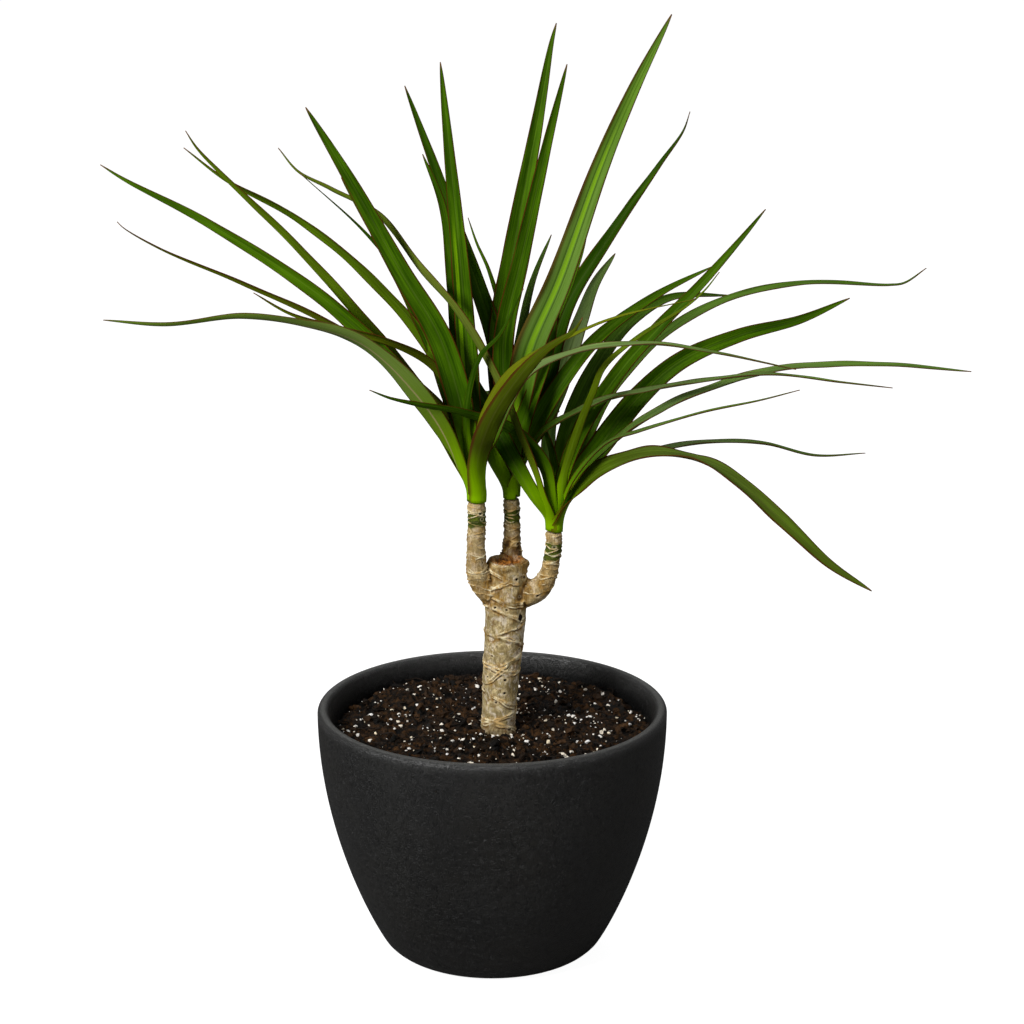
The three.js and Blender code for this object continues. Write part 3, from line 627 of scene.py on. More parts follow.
def blades_tree():
    """Sweeps each guide line into a blade, rolled round the stem at its root and open further out."""
    tree, n, given, put = group_tree(
        "strap leaves", "GeometryNodeTree",
        {"Guides": "Geometry", "Points across": 13, "Material": "Material"}, {"Leaves": "Geometry"})
    rails = n.geo("MeshToCurve", Mesh=given["Guides"])
    section = n.geo("CurvePrimitiveLine", Start=(-1, 0, 0), End=(1, 0, 0))
    section = n.geo("ResampleCurve", Curve=section, Count=given["Points across"])
    section = n.keep(section, "across", n.parts(n.geo("InputPosition"))[0])
    sheet = n.geo("CurveToMesh", Curve=rails, Profile_Curve=section)
    across = n.named("across")
    wrap = n.named("guide_wrap")
    roll = across * wrap
    ring = n.named("guide_half") / wrap
    size = n.math("ABSOLUTE", across)
    cube = size ** 3.0
    drop = ring * (n.math("COSINE", roll) - 1.0) + n.named("guide_sink") - size * n.named("guide_ridge")
    drop = cube * n.named("guide_ripple") + drop
    drop = cube * n.math("SIGN", across) * n.named("guide_warp") + drop
    spot = n.named("guide_centre", "FLOAT_VECTOR")
    for direction, far in (("guide_side", ring * n.math("SINE", roll)), ("guide_under", drop)):
        spot = n.vector("ADD", spot, n.vector("SCALE", n.named(direction, "FLOAT_VECTOR"), far))
    sheet = n.geo("SetPosition", Geometry=sheet, Position=spot)
    put(Leaves=n.dress(sheet, given["Material"]))
    return tree


def scatter_tree():
    """Strews irregular grains over a surface, sunk a little into it."""
    tree, n, given, put = group_tree(
        "scattered grains", "GeometryNodeTree",
        {"Ground": "Geometry", "Density": 1000.0, "Spacing": 0.0005, "Smallest": 0.0005, "Largest": 0.0015,
         "Flatness": 0.3, "Slenderness": 0.3, "Roughness": 0.5, "Lift": 0.3, "Seed": 1,
         "Material": "Material"},
        {"Grains": "Geometry"})
    grain = n.geo("MeshIcoSphere", Radius=1.0, Subdivisions=2)
    share, long, narrow, tint = (n.chance(0.0, 1.0, given["Seed"] + own) for own in (11.0, 12.0, 13.0, 15.0))
    size = share ** MANY_SMALL * (given["Largest"] - given["Smallest"]) + given["Smallest"]
    slender = given["Slenderness"]
    stretch = n.xyz(slender * long + 1.0, 1.0 - slender * narrow, 1.0 - given["Flatness"])
    turn = n.chance((-0.5, -0.5, 0.0), (0.5, 0.5, math.tau), given["Seed"] + 14.0)
    grains = n.geo("InstanceOnPoints", Points=n.strewn(given), Instance=grain,
                   Scale=n.vector("SCALE", stretch, size * 0.5), Rotation=turn)
    grains = n.geo("TranslateInstances", Instances=grains, Translation=n.xyz(z=size * given["Lift"]),
                   Local_Space=False)
    grains = n.keep(grains, "tint", tint, "INSTANCE")
    grains = n.keep(grains, "guide_size", size, "INSTANCE")
    loose = n.geo("RealizeInstances", Geometry=grains)
    wobble = n.drift(900.0, 2.0, (0.5, 0.5, 0.5))
    wobble = n.vector("SCALE", wobble, n.named("guide_size") * given["Roughness"])
    loose = n.geo("SetPosition", Geometry=loose, Offset=wobble)
    put(Grains=n.dress(loose, given["Material"]))
    return tree


def fibres_tree():
    """Lays thin curled fibres over a surface."""
    tree, n, given, put = group_tree(
        "fibres", "GeometryNodeTree",
        {"Ground": "Geometry", "Density": 3000.0, "Spacing": 0.004, "Length": 0.012, "Thickness": 0.0004,
         "Curl": 0.006, "Seed": 1, "Material": "Material"},
        {"Fibres": "Geometry"})
    strand = n.geo("CurvePrimitiveLine", Start=(0, 0, 0), End=n.xyz(given["Length"]))
    strand = n.geo("ResampleCurve", Curve=strand, Count=10)
    turn = n.chance((0.0, -0.15, 0.0), (0.0, 0.15, math.tau), given["Seed"])
    laid = n.geo("InstanceOnPoints", Points=n.strewn(given), Instance=strand, Rotation=turn,
                 Scale=n.chance(0.35, 1.0, given["Seed"]))
    laid = n.geo("RealizeInstances", Geometry=laid)
    bend = n.vector("MULTIPLY", n.drift(120.0, 1.0, (0.5, 0.5, 0.42)), (1.0, 1.0, 0.35))
    laid = n.geo("SetPosition", Geometry=laid, Offset=n.vector("SCALE", bend, given["Curl"]))
    outline = n.geo("CurvePrimitiveCircle", Resolution=5, Radius=given["Thickness"])
    body = n.geo("CurveToMesh", Curve=laid, Profile_Curve=outline, Fill_Caps=True)
    put(Fibres=n.dress(body, given["Material"]))
    return tree


# ---- pot and soil ----

SOIL_MESH = (0.85, 480)  # distance between the rings of the bed's surface, and points in each
GROUND_MESH = (2.5, 240)  # the same for the surface that loose grains are strewn over
BRIM_DIP = 0.6  # how far the soil sinks where it meets the pot
BRIM_RELIEF = 0.25  # how much of its lumps is left there
BRIM_EASE = 6  # how far in from the pot both fade
# colour of a painted highlight along the crest of the pot's lip
LIP_CREST_HIGHLIGHT = "#62625f"
# painted shade, near black, for the soil's hollows and its sides
SOIL_HOLLOW_SHADE = "#020100"


def inside_of_bowl():
    """The inside of the bowl, from under the lip down to its floor, as the CAD model has it."""
    shoulder = (RIM_RADIUS - WALL, POT_HEIGHT - LIP_TAPER)
    foot = (HEEL[0] - WALL + 2, HEEL[1] + 5)
    belly = (BELLY_HIGH[0] - WALL, BELLY_HIGH[1])
    wall = bezier([shoulder, belly, (BELLY_LOW[0] - WALL + 2, BELLY_LOW[1] + 5), foot], 40)
    flat_edge = (FLAT_RADIUS - WALL, FLOOR_THICKNESS)
    corner = bezier([foot, (HEEL_CORNER - WALL + 2, FLOOR_THICKNESS), flat_edge], 10)
    floor = bezier([flat_edge, (0, FLOOR_THICKNESS)], 6)
    return np.vstack([wall, corner[1:], floor[1:]])


def pot_profile():
    underside = bezier([(0, 0), (FLAT_RADIUS, 0)], 6)
    heel = bezier([(FLAT_RADIUS, 0), (HEEL_CORNER, 0), HEEL], 10)
    rim = (RIM_RADIUS, POT_HEIGHT - LIP / 2)
    wall = bezier([HEEL, BELLY_LOW, BELLY_HIGH, rim], 60)
    turn = np.linspace(0, math.pi, 17)[:, None]
    lip = np.array(rim) - (LIP / 2, 0) + LIP / 2 * np.hstack([np.cos(turn), np.sin(turn)])
    inside = inside_of_bowl()
    under_lip = bezier([lip[-1], (inside[0][0] + 1.2, inside[0][1] + 5), inside[0]], 8)
    outside = np.vstack([underside, heel[1:], wall[1:], lip[1:]])
    return np.vstack([outside, under_lip[1:], inside[1:]]), len(outside)


def turned_piece(name, profile, outside, sides, material):
    """A closed turned piece from a profile of (radius, height) in millimetres, its last part inside."""
    inner = ease((np.arange(len(profile)) - outside) / 6)
    places = np.insert(profile, 1, 0, axis=1) * MM
    guide = mesh_object(name + "_profile", places, edges=[(i, i + 1) for i in range(len(places) - 1)],
                        attributes={"guide_place": places, "inner": inner})
    use_tree(guide, turned_tree(), Sides=sides, Material=material)
    return settle(guide, name)


def pot_material(settings):
    n, skin = new_material("charcoal pot")
    place = n.place()
    mask, height = mottle(n, place, blotch=28.0, speck=900.0, share=0.5)
    dusty, _ = mottle(n, place, blotch=9.0, speck=60.0, share=0.3)
    swirl = n.noise(place, 0.36 / settings.grain, 2.0, 0.5, 1.2)
    crease = n.contour(swirl, 5.0, 0.3)
    level = n.parts(place)[2]
    # the top of the lip: smoother and shinier, and painted lighter as a painted highlight
    lip_wear_and_highlight = n.between(level, (POT_HEIGHT - LIP) * MM, (POT_HEIGHT - 1) * MM)
    # a painted highlight along the crest of the lip
    crest = n.between(level, (POT_HEIGHT - 0.7) * MM, POT_HEIGHT * MM)
    inner = n.stored("inner")
    colour = n.layers(
        n.mix(mask, settings.colour, settings.light_colour),
        (dusty * 0.5, settings.warm_colour),
        (1.0 - crease, settings.crease_colour),
        (lip_wear_and_highlight * 0.4, settings.lip_colour),
        (crest * 0.5, LIP_CREST_HIGHLIGHT),
        # painted shade: the inside of the bowl near black
        (inner, settings.inside_colour))
    matt = lip_wear_and_highlight * -0.14 + n.between(height, 0.3, 0.75, 0.42, 0.56)
    sheen = lip_wear_and_highlight * 0.2 + (inner * -0.28 + 0.4)
    fine = n.noise(place, 2.2 / settings.grain, 3.0, 0.6)
    return skin(Base_Color=colour, Roughness=matt, Specular_IOR_Level=sheen,
                Normal=n.bump(crease * 0.7 + fine, strength=0.8, distance=0.0004))


def soil_relief(places):
    """How far the soil stands above its level in mm, and how deep in a hollow a point is, for painted shade.
    """
    flat = places * (1, 1, 0)
    bent = flat + 1.6 * np.column_stack([lumps(flat, 3.4, 7), lumps(flat, 3.4, 9), flat[:, 2]])
    broad = 1.1 * lumps(flat, 9, 3) + 0.8 * lumps(flat, 4.2, 5) + MOUND * ease((places[:, 1] - 10) / 45)
    detail = 2.1 * ridges(bent, 3.1, 10, 3) + ridges(bent, 1.5, 4, 3) - 1.1
    return broad + detail, ease((0.2 - detail) / 1.1)


def soil_top(pitch, sides):
    """The soil's upper surface as a mesh of rings, a little below the brim at the pot's wall."""
    inside = inside_of_bowl()
    brim = float(np.interp(SOIL_LEVEL, inside[::-1, 1], inside[::-1, 0])) - GAP
    rings = math.ceil(brim / pitch)
    radii = brim * np.arange(rings, 0, -1) / rings
    flat = np.vstack([(radii[:, None, None] * ring_of(sides)).reshape(-1, 2), (0, 0)])
    places = np.insert(flat, 2, SOIL_LEVEL, axis=1)
    inward = ease((brim - np.hypot(*flat.T)) / BRIM_EASE)
    relief, shaded_crevice = soil_relief(places)
    places[:, 2] += relief * (BRIM_RELIEF + (1 - BRIM_RELIEF) * inward) - BRIM_DIP * (1 - inward)
    last = (rings - 1) * sides
    middle = [(last + k, last + (k + 1) % sides, rings * sides) for k in range(sides)]
    return places, bands(rings, sides) + middle, shaded_crevice


def soil_body():
    """The bed of soil: its upper surface, closed below by the inside of the bowl."""
    pitch, sides = SOIL_MESH
    places, faces, shaded_crevice = soil_top(pitch, sides)
    inside = inside_of_bowl()
    below = inside[inside[:, 1] < SOIL_LEVEL - 4][::4]
    start = 0
    for radius, level in below[below[:, 0] > GAP] + (-GAP, GAP):
        first = len(places)
        places = np.vstack([places, np.insert(radius * ring_of(sides), 2, level, axis=1)])
        faces += band(first, start, sides)
        start = first
    faces.append(tuple(start + k for k in range(sides))[::-1])
    return places, faces, np.append(shaded_crevice, np.ones(len(places) - len(shaded_crevice)))


def soil_material(settings):
    n, skin = new_material("potting mix")
    place = n.place()
    mask, height = mottle(n, place, blotch=260.0, speck=1500.0, share=0.6)
    wet, _ = mottle(n, place, blotch=60.0, speck=400.0, share=0.3)
    colour = n.layers(
        n.mix(mask ** 1.6, settings.dark_colour, settings.brown_colour),
        (wet * 0.5, settings.dark_colour),
        # painted shade: darkest deep in the soil's hollows, and on the sides of the bed
        (n.between(n.stored("shaded_crevice"), 0.0, 0.7), SOIL_HOLLOW_SHADE))
    return skin(Base_Color=colour, Roughness=n.between(wet, 0.0, 1.0, 0.85, 0.55), Specular_IOR_Level=0.15,
                Normal=n.bump(height, strength=0.9, distance=0.0006))


def crumb_material(name, dark, light, rarity):
    """The skin of loose grains, each between two colours: the higher the rarity, the fewer are light."""
    n, skin = new_material(name)
    mask, height = mottle(n, n.place(), blotch=700.0, speck=3000.0, share=0.5)
    colour = n.layers(dark, (n.stored("tint") ** rarity, light), (mask * 0.4, dark))
    return skin(Base_Color=colour, Roughness=0.7, Specular_IOR_Level=0.2,
                Normal=n.bump(height, strength=0.6, distance=0.0003))


# ---- trunk ----

# Raised scars of fallen leaves on the cane: (height, rise to the right, sag in front).
CANE_CORDS = [
    (192.5, -4, 1), (189, 4.5, -1), (182, -3, 2), (173.7, -3.7, -0.8), (166.5, 3, 1.5), (159.6, -3.7, -2),
    (151.5, 2.5, 3), (146.2, -2.5, 0.5), (143.8, 7.2, -1.9), (129.8, -4, -0.9), (120.1, 3, -0.5),
    (116, -3.1, -2.3),
]
# The dark diamond of a torn scar: (across, height), half its width and half its height.
TORN_SCAR = (13.5, 171.8)
TORN_SCAR_REACH = (1.5, 2.6)
BRANCH_CORD_PITCH = 5.4
BRANCH_FOOT = 186.0
GREEN_BANDS = {"left": (217, 226.5), "middle": (214, 222.5), "right": (199, 209.5)}
STUMP_TOP = CANE[-1][2]
KNOB = STUMP_TOP - 2.6  # the swelling under the cut top
FORK_FOOT = 174  # where the bark between the branches starts to tear
FORK_STAIN = (170, 206)
SOIL_LINE = 119  # where the cane's rough, earth-stained base ends
HOLLOW = 3.2  # how deep the cut top's torn middle lies
CANE_MESH = (48, 1.0)  # points round the cane, and distance between its rings
BRANCH_MESH = (32, 0.8)
SOFTENING = 12  # rounds of smoothing where the branches grow out of the cane
CORD_WIDTHS = (0.62, 0.42)  # of each scar's upper and lower strand
STRAND_GAP = 0.6  # how far the lower one lies under the upper, before it wanders
WANDER = 2.4
BRANCH_CORD_WIDTH = 0.36
PORE_SIZES = (0.35, 0.8)
# The bark's colours beside the two that a user sets.
BARK = {
    "olive": "#7b6f45", "chalk": "#f3e6cf", "brown": "#80592a", "young": "#d0b27c", "dark fibre": "#7d6848",
    "pale fibre": "#e8dcbf", "fleck": "#8a7350", "curl": "#7c5a2c", "tan": "#ab7f30", "dark tan": "#634717",
    "moss": "#5c6614", "dark moss": "#2c3606", "scar": "#d2ae70", "scar crest": "#f6e8bf",
    "shaded_groove": "#4e3315", "pore rim": "#dccba4", "pore": "#1d120a", "wood": "#b8752a",
    "dark wood": "#63340c", "wood grain": "#3b2210", "earth": "#4a3524",
}


def tube(path, radii, sides, spacing):
    """A closed tube along a path whose radius follows the list, in millimetres, and its axis."""
    centre, far = smooth_path(path, spacing)
    forward = unit(np.gradient(centre, axis=0))
    side = unit(np.cross((0, 1, 0), forward))
    away = np.cross(forward, side)
    radius = np.interp(far, np.linspace(0, far[-1], len(radii)), radii)
    cosine, sine = ring_of(sides).T[:, None, :, None]
    spokes = side[:, None] * cosine + away[:, None] * sine
    places = centre[:, None] + radius[:, None, None] * spokes
    last = (len(centre) - 1) * sides
    caps = [tuple(range(sides))[::-1], tuple(range(last, last + sides))]
    return places.reshape(-1, 3), bands(len(centre), sides) + caps, (centre, side, away, radius)


def nearest_axis(places, axes):
    """For each point: its limb, the angle round its axis, the distance from it, and how near another is."""
    gaps = np.empty((len(axes), len(places)))
    spots = np.zeros((len(axes), len(places)), int)
    at_once = 20000
    for index, (centre, _, _, radius) in enumerate(axes):
        for start in range(0, len(places), at_once):
            part = slice(start, start + at_once)
            gap = np.linalg.norm(places[part, None] - centre[None], axis=2) - radius[None]
            spots[index, part] = gap.argmin(axis=1)
            gaps[index, part] = gap.min(axis=1)
    limb = gaps.argmin(axis=0)
    nearest, second = np.sort(gaps, axis=0)[:2]
    angle = np.zeros(len(places))
    distance = np.zeros(len(places))
    for index, (centre, side, away, radius) in enumerate(axes):
        own = limb == index
        spot = spots[index, own]
        gap = places[own] - centre[spot]
        one = (gap * side[spot]).sum(axis=1)
        other = (gap * away[spot]).sum(axis=1)
        angle[own] = np.arctan2(other, one)
        distance[own] = np.hypot(one, other) / radius[spot]
    return limb, angle, distance, bell((second - nearest) / 2.4)


def bark_strands(places, limb, angle):
    """Where the strands of old leaf scars, the painted shade of the furrows under them and the stained bark
    beside them lie.
    """
    height = places[:, 2] + 0.8 * lumps(places, 7, 11) + 0.3 * lumps(places, 2.2, 12)
    split = WANDER * lumps(places, 9, 21)
    strands = []
    for level, rise, sag in CANE_CORDS:
        line = level + rise * np.cos(angle) + sag * np.sin(angle)
        strands += [(0, line, CORD_WIDTHS[0]), (0, line + split - STRAND_GAP, CORD_WIDTHS[1])]
    rng = np.random.default_rng(31)
    for index, (side, branch) in enumerate(BRANCHES.items(), 1):
        low, high = GREEN_BANDS[side]
        level = BRANCH_FOOT
        while level < branch["path"][-1][2]:
            dense = low - 2 < level < high
            swing = rng.uniform(1.2, 2.4) * (0.8 if dense else 1)
            phase = rng.uniform(0, math.tau)
            for sign, lag in ((1, 0.0), (-1, 0.8)):
                line = level + sign * swing * np.sin(angle + phase + lag)
                strands.append((index, line, BRANCH_CORD_WIDTH))
            level += (0.6 if dense else 1) * BRANCH_CORD_PITCH * rng.uniform(0.8, 1.2)
    cord, shaded_groove, beside = (np.zeros(len(places)) for _ in range(3))
    for index, line, thickness in strands:
        own = limb == index
        gap = (height - line) / thickness
        cord = np.maximum(cord, bell(gap) * own)
        # the furrow under each scar: sunk a little, and painted in shade
        shaded_groove = np.maximum(shaded_groove, bell((gap + 2.1) / 1.2) * own * (0.45 if index else 1))
        beside = np.maximum(beside, bell((height - line + 0.8) / 1.9) * own)
    torn = np.clip(0.75 + 0.9 * lumps(places, 3.1, 13), 0, 1)
    return cord * torn, shaded_groove * torn * (1 - cord), beside


def bark_pores(places, count, seed):
    """Small dark pits with raised rims, strewn over the skin."""
    rng = np.random.default_rng(seed)
    pit = np.zeros(len(places))
    rim = np.zeros(len(places))
    for centre in places[rng.choice(len(places), count, replace=False)]:
        size = rng.uniform(*PORE_SIZES)
        gap = np.linalg.norm((places - centre) * (1, 1, 1.25), axis=1) / size
        pit = np.maximum(pit, bell(gap))
        rim = np.maximum(rim, bell((gap - 1.8) / 0.6))
    return pit, rim * (1 - pit)


def build_trunk_mesh(settings):
    """The cane and its branches as one skin, with scars, cut top and marks stored for the bark."""
    limbs = [tube(CANE, CANE_RADII, *CANE_MESH)]
    limbs += [tube(branch["path"], branch["radii"], *BRANCH_MESH) for branch in BRANCHES.values()]
    places, faces, axes = [], [], []
    for points, quads, axis in limbs:
        shift = sum(len(p) for p in places)
        places.append(points)
        faces += [tuple(v + shift for v in face) for face in quads]
        axes.append(axis)
    rough = mesh_object("trunk_rough", np.vstack(places) * MM, faces)
    skin = rough.modifiers.new("skin", "REMESH")
    skin.mode = "VOXEL"
    skin.voxel_size = settings.detail
    soften = rough.modifiers.new("soften", "SMOOTH")
    soften.iterations = SOFTENING
    trunk = settle(rough, "trunk_bark")
    mesh = trunk.data
    places = vectors_of(mesh, "co") / MM
    normals = vectors_of(mesh, "normal")
    limb, angle, distance, crotch = nearest_axis(places, axes)
    cane = limb == 0
    z = places[:, 2]
    cut = ease((normals[:, 2] - 0.5) / 0.3) * cane * ease((z - KNOB) / 1.2)
    crotch = crotch * ease((z - FORK_FOOT) / 4) * (1 - cut)
    cord, shaded_groove, beside = bark_strands(places, limb, angle)
    pit, rim = bark_pores(places, settings.pores, 33)
    diamond = np.abs(places[:, [0, 2]] - TORN_SCAR) / TORN_SCAR_REACH
    diamond = diamond.sum(axis=1) + 0.25 * lumps(places, 1.2, 27)
    own = cane & (places[:, 1] < 0)
    pit = np.maximum(pit, own * ease((1.0 - diamond) / 0.35))
    rim = np.maximum(rim, own * bell((diamond - 1.25) / 0.3)) * (1 - pit)
    whole = 1 - cut
    cord, shaded_groove, pit, rim = (mark * whole for mark in (cord, shaded_groove, pit * (z < STUMP_TOP + 26), rim))
    long_grain = lumps(places * (1, 1, 0.22), 0.9, 15)
    lift = 0.3 * lumps(places, 4.5, 14) + 0.12 * lumps(places, 1.6, 16) + 0.1 * long_grain
    lift += settings.scar_height / MM * cord - 0.34 * shaded_groove - 0.5 * pit + 0.16 * rim
    shreds = ridges(places * (1, 1, 0.7), 2.6, 26, 4)
    lift += crotch * (0.2 + 0.6 * lumps(places, 2.6, 22) + 1.5 * shreds)
    cord = np.maximum(cord, 0.75 * crotch * shreds)
    # in the torn fork, painted shade between the shreds
    shaded_groove = np.maximum(shaded_groove, crotch * (1 - shreds) ** 3)
    knob = cane * bell((z - KNOB) / 2.2) * (1 - crotch)
    lift += knob * (0.7 + 0.9 * lumps(places, 3.8, 24))
    hollow = ease((0.86 - distance) / 0.3)
    curls = ridges(places, 2.6, 17, 4)
    torn = 1.8 * curls + 0.5 * lumps(places, 0.9, 25)
    lift += cut * (hollow * (torn - HOLLOW) - 1.1 * (1 - hollow) * ease((distance - 0.86) / 0.2))
    cord = np.maximum(cord, 0.6 * cut * hollow * curls)
    base = np.where(cane, ease((SOIL_LINE - z) / 7), 0)
    lift += base * (0.4 + 0.7 * lumps(places, 2.4, 18))
    places = places + normals * lift[:, None]
    mesh.vertices.foreach_set("co", (places * MM).astype(np.float32).ravel())
    green = np.zeros(len(places))
    for index, (low, high) in enumerate(GREEN_BANDS.values(), 1):
        edge = 1.2 * lumps(places, 3.5, 19)
        within = ease((z + edge - low) / 1.6) * ease((high - z + edge) / 1.6)
        green = np.where(limb == index, within, green)
    fork = ease((z - FORK_STAIN[0]) / 10) * ease((FORK_STAIN[1] - z) / 8)
    stain = beside * np.clip(0.3 + 1.1 * lumps(places, 3.0, 20), 0, 1) + ease(crotch / 0.7) + 0.5 * knob
    stain += 0.5 * fork * np.clip(0.35 + 1.2 * lumps(places, 4.5, 28), 0, 1)
    marks = {"cord": cord, "shaded_groove": shaded_groove, "cut": cut, "hollow": hollow * cut, "base": base,
             "green": green, "stain": np.clip(stain, 0, 1), "pit": pit, "rim": rim,
             "branch": (~cane).astype(float)}
    for key, values in marks.items():
        store(mesh, key, values)
    mesh.update()
    return trunk


def bark_material(settings):
    n, skin = new_material("dry bark")
    place = n.place()
    mask, height = mottle(n, place, blotch=190.0, speck=1400.0, share=0.5)
    fleck, grain = mottle(n, place, blotch=620.0, speck=2600.0, share=0.5)
    fibre = n.noise(n.vector("MULTIPLY", place, (1.0, 1.0, 0.14)), 1500.0, 3.0, 0.65)
    swirl = n.noise(n.vector("MULTIPLY", place, (1.0, 1.0, 0.6)), 170.0, 2.0, 0.45, 1.2)
    curl = 1.0 - n.contour(swirl, 14.0, 0.16)
    olive = n.between(n.noise(place, 130.0, 3.0, 0.6, 2.0), 0.42, 0.6)
    chalk = n.between(n.noise(place, 150.0, 2.0, 0.55, 1.6), 0.5, 0.64)
    brown = n.between(n.noise(place, 210.0, 3.0, 0.65, 1.2), 0.55, 0.7)
    stained = n.stored("stain") * n.between(fibre, 0.25, 0.6, 0.55, 1.0)
    tan = n.mix(fleck, BARK["tan"], BARK["dark tan"])
    moss = n.mix(fleck, BARK["moss"], BARK["dark moss"])
    crest = n.mix(n.between(mask, 0.3, 0.8), BARK["scar"], BARK["scar crest"])
    wood = n.mix(fleck, BARK["wood"], BARK["dark wood"])
    wood = n.mix(n.between(fibre, 0.5, 0.62, 0.0, 0.8), wood, BARK["wood grain"])
    bare = n.math("MAXIMUM", n.stored("hollow"), n.between(mask, 0.3, 0.6, 0.35, 0.9))
    colour = n.layers(
        n.mix(mask, settings.grey_colour, settings.bark_colour),
        (olive * 0.7, BARK["olive"]),
        (chalk * 0.75, BARK["chalk"]),
        (brown * 0.75, BARK["brown"]),
        (n.stored("branch") * 0.4, BARK["young"]),
        (n.between(fibre, 0.45, 0.7, 0.0, 0.55), BARK["dark fibre"]),
        (n.between(fibre, 0.25, 0.45, 0.4, 0.0), BARK["pale fibre"]),
        (fleck * 0.25, BARK["fleck"]),
        (curl * n.between(mask, 0.2, 0.8, 0.35, 0.75), BARK["curl"]),
        (stained * 0.9, tan),
        (n.stored("green"), moss),
        (n.between(n.stored("cord"), 0.25, 0.7, 0.0, 0.95), crest),
        # painted shade in the furrows under the scars and in the torn fork
        (n.between(n.stored("shaded_groove"), 0.2, 0.85, 0.0, 0.75), BARK["shaded_groove"]),
        (n.stored("rim") * 0.6, BARK["pore rim"]),
        (n.between(n.stored("pit"), 0.25, 0.6), BARK["pore"]),
        (n.between(n.stored("cut"), 0.3, 0.8) * bare, wood),
        (n.stored("base") * 0.6, BARK["earth"]))
    relief = curl * 0.35 + (height + (fibre * 0.7 + grain * 0.4))
    return skin(Base_Color=colour, Roughness=0.72, Specular_IOR_Level=0.2,
                Normal=n.bump(relief, strength=0.6, distance=0.0005))


# ---- crowns ----

VEIN_PITCH = 0.0007  # metres between the fine ridges of a blade
# The leaves' colours beside those that a user sets.
# the pale grey-green one is the colour of a painted sheen
LEAF = {
    "olive": "#7f7412", "young base": "#82b200", "painted_sheen": "#8f9c6e", "stripe": "#7fb00c",
    "midrib": "#b09a72", "dry tip": "#6b4a2a", "sheen": "#d8ff9a",
}


def placed(point):
    """Where a point read in front elevation lies when it is `depth` behind the plane of the pot's axis."""
    across, height, depth = point
    return EYE + (np.array((across, 0, height)) - EYE) * (1 + depth / -EYE[1])


def half_width(width, along, taper):
    """Half the width of a blade along its length, in millimetres."""
    root = ROOT_WIDTH + (1 - ROOT_WIDTH) * ease(along / WIDEST)
    tip = np.minimum(1, (np.clip(1 - along, 0, 1) / (1 - WIDEST)) ** taper)
    return np.maximum(width / 2 * root * tip, NARROWEST)


def spread(turns, along):
    """A list of turns spread evenly over a blade's outer three quarters, in degrees."""
    if len(turns) == 1:
        return np.full(len(along), float(turns[0]))
    return np.interp(np.clip((along - 0.25) / 0.75, 0, 1), np.linspace(0, 1, len(turns)), turns)


def blade_guide(blade, foot, radius, settings, key):
    """The midrib of one blade, and at each point of it the directions and sizes of the section there."""
    growth = math.radians(blade["growth"])
    out = np.array((math.cos(growth), math.sin(growth), 0))
    ring = radius * (ROOT_RING[0] - ROOT_RING[1] * blade["rise"])
    root = foot + out * ring + (0, 0, ROOT_CLIMB * blade["rise"] - ROOT_SUNK)
    sheath = root + out * 0.3 + (0, 0, SHEATH)
    path, far = smooth_path([root, sheath] + [placed(p) for p in blade["line"]], settings.step / MM)
    along = far / far[-1]
    forward = unit(np.gradient(path, axis=0))
    if blade["leans"]:
        level = (path[-1] - path[0]) * (1, 1, 0)
        wide = np.cross(level, DOWN) * np.ones_like(path)
        wide = unit(wide - forward * (wide * forward).sum(axis=1, keepdims=True))
    else:
        wide = unit(np.cross(forward, SIGHT))
    narrow = np.cross(wide, forward)
    round_stem = np.array((-math.sin(growth), math.cos(growth), 0))
    root_turn = math.degrees(math.atan2(round_stem @ narrow[0], round_stem @ wide[0]))
    turns = blade["turns"]
    half_turns = 180 * round((root_turn - turns[0]) / 180)
    settled = ease(along / TURN_SHARE)
    turn = np.radians(root_turn + (spread(turns, along) + half_turns - root_turn) * settled)[:, None]
    side = wide * np.cos(turn) + narrow * np.sin(turn)
    under = np.cross(side, forward)
    opening = ease((far - 3) / settings.opening * MM)
    wrap = ROLLED + (OPENED - ROLLED) * opening
    own_half = half_width(blade["width"], along, blade["taper"])
    half = ring * ROLLED + (own_half - ring * ROLLED) * ease((far - 1) / settings.opening * MM)
    ridge = CHANNEL * half * opening
    sink = opening * (half / wrap * (1 - np.cos(wrap)) + ridge)
    rng = np.random.default_rng(key)
    fade = ease(far / 30) * np.minimum(1, (1 - along) * 6)
    ripples = []
    for _ in range(2):
        phase = rng.uniform(0, math.tau)
        length = rng.uniform(*RIPPLE_LENGTHS)
        ripples.append(RIPPLE * half * fade * np.sin(far * math.tau / length + phase))
    look = {name: np.full(len(path), float(value)) for name, value in blade["look"].items()}
    return path, {
        "guide_centre": path * MM, "guide_side": side, "guide_under": under, "guide_half": half * MM,
        "guide_wrap": wrap, "guide_sink": sink * MM, "guide_ridge": ridge * MM,
        "guide_ripple": ripples[0] * MM, "guide_warp": ripples[1] * MM, "along": along, "reach": far * MM,
        "half": half * MM, "kind": np.full(len(path), rng.uniform()), **look,
    }


def crown_guides(side, settings):
    """The guides of all blades of a crown, as one mesh of lines."""
    foot = np.array(BRANCHES[side]["path"][-1]) + (0, 0, GAP)
    radius = BRANCHES[side]["radii"][-1]
    places, edges, marks = [], [], []
    for key, blade in enumerate(LEAVES[side].values()):
        path, values = blade_guide(blade, foot, radius, settings, key + 100 * len(side))
        first = sum(len(p) for p in places)
        places.append(path * MM)
        edges += [(first + i, first + i + 1) for i in range(len(path) - 1)]
        marks.append(values)
    merged = {key: np.concatenate([m[key] for m in marks]) for key in marks[0]}
    return mesh_object("crown_guides", np.vstack(places), edges=edges, attributes=merged)


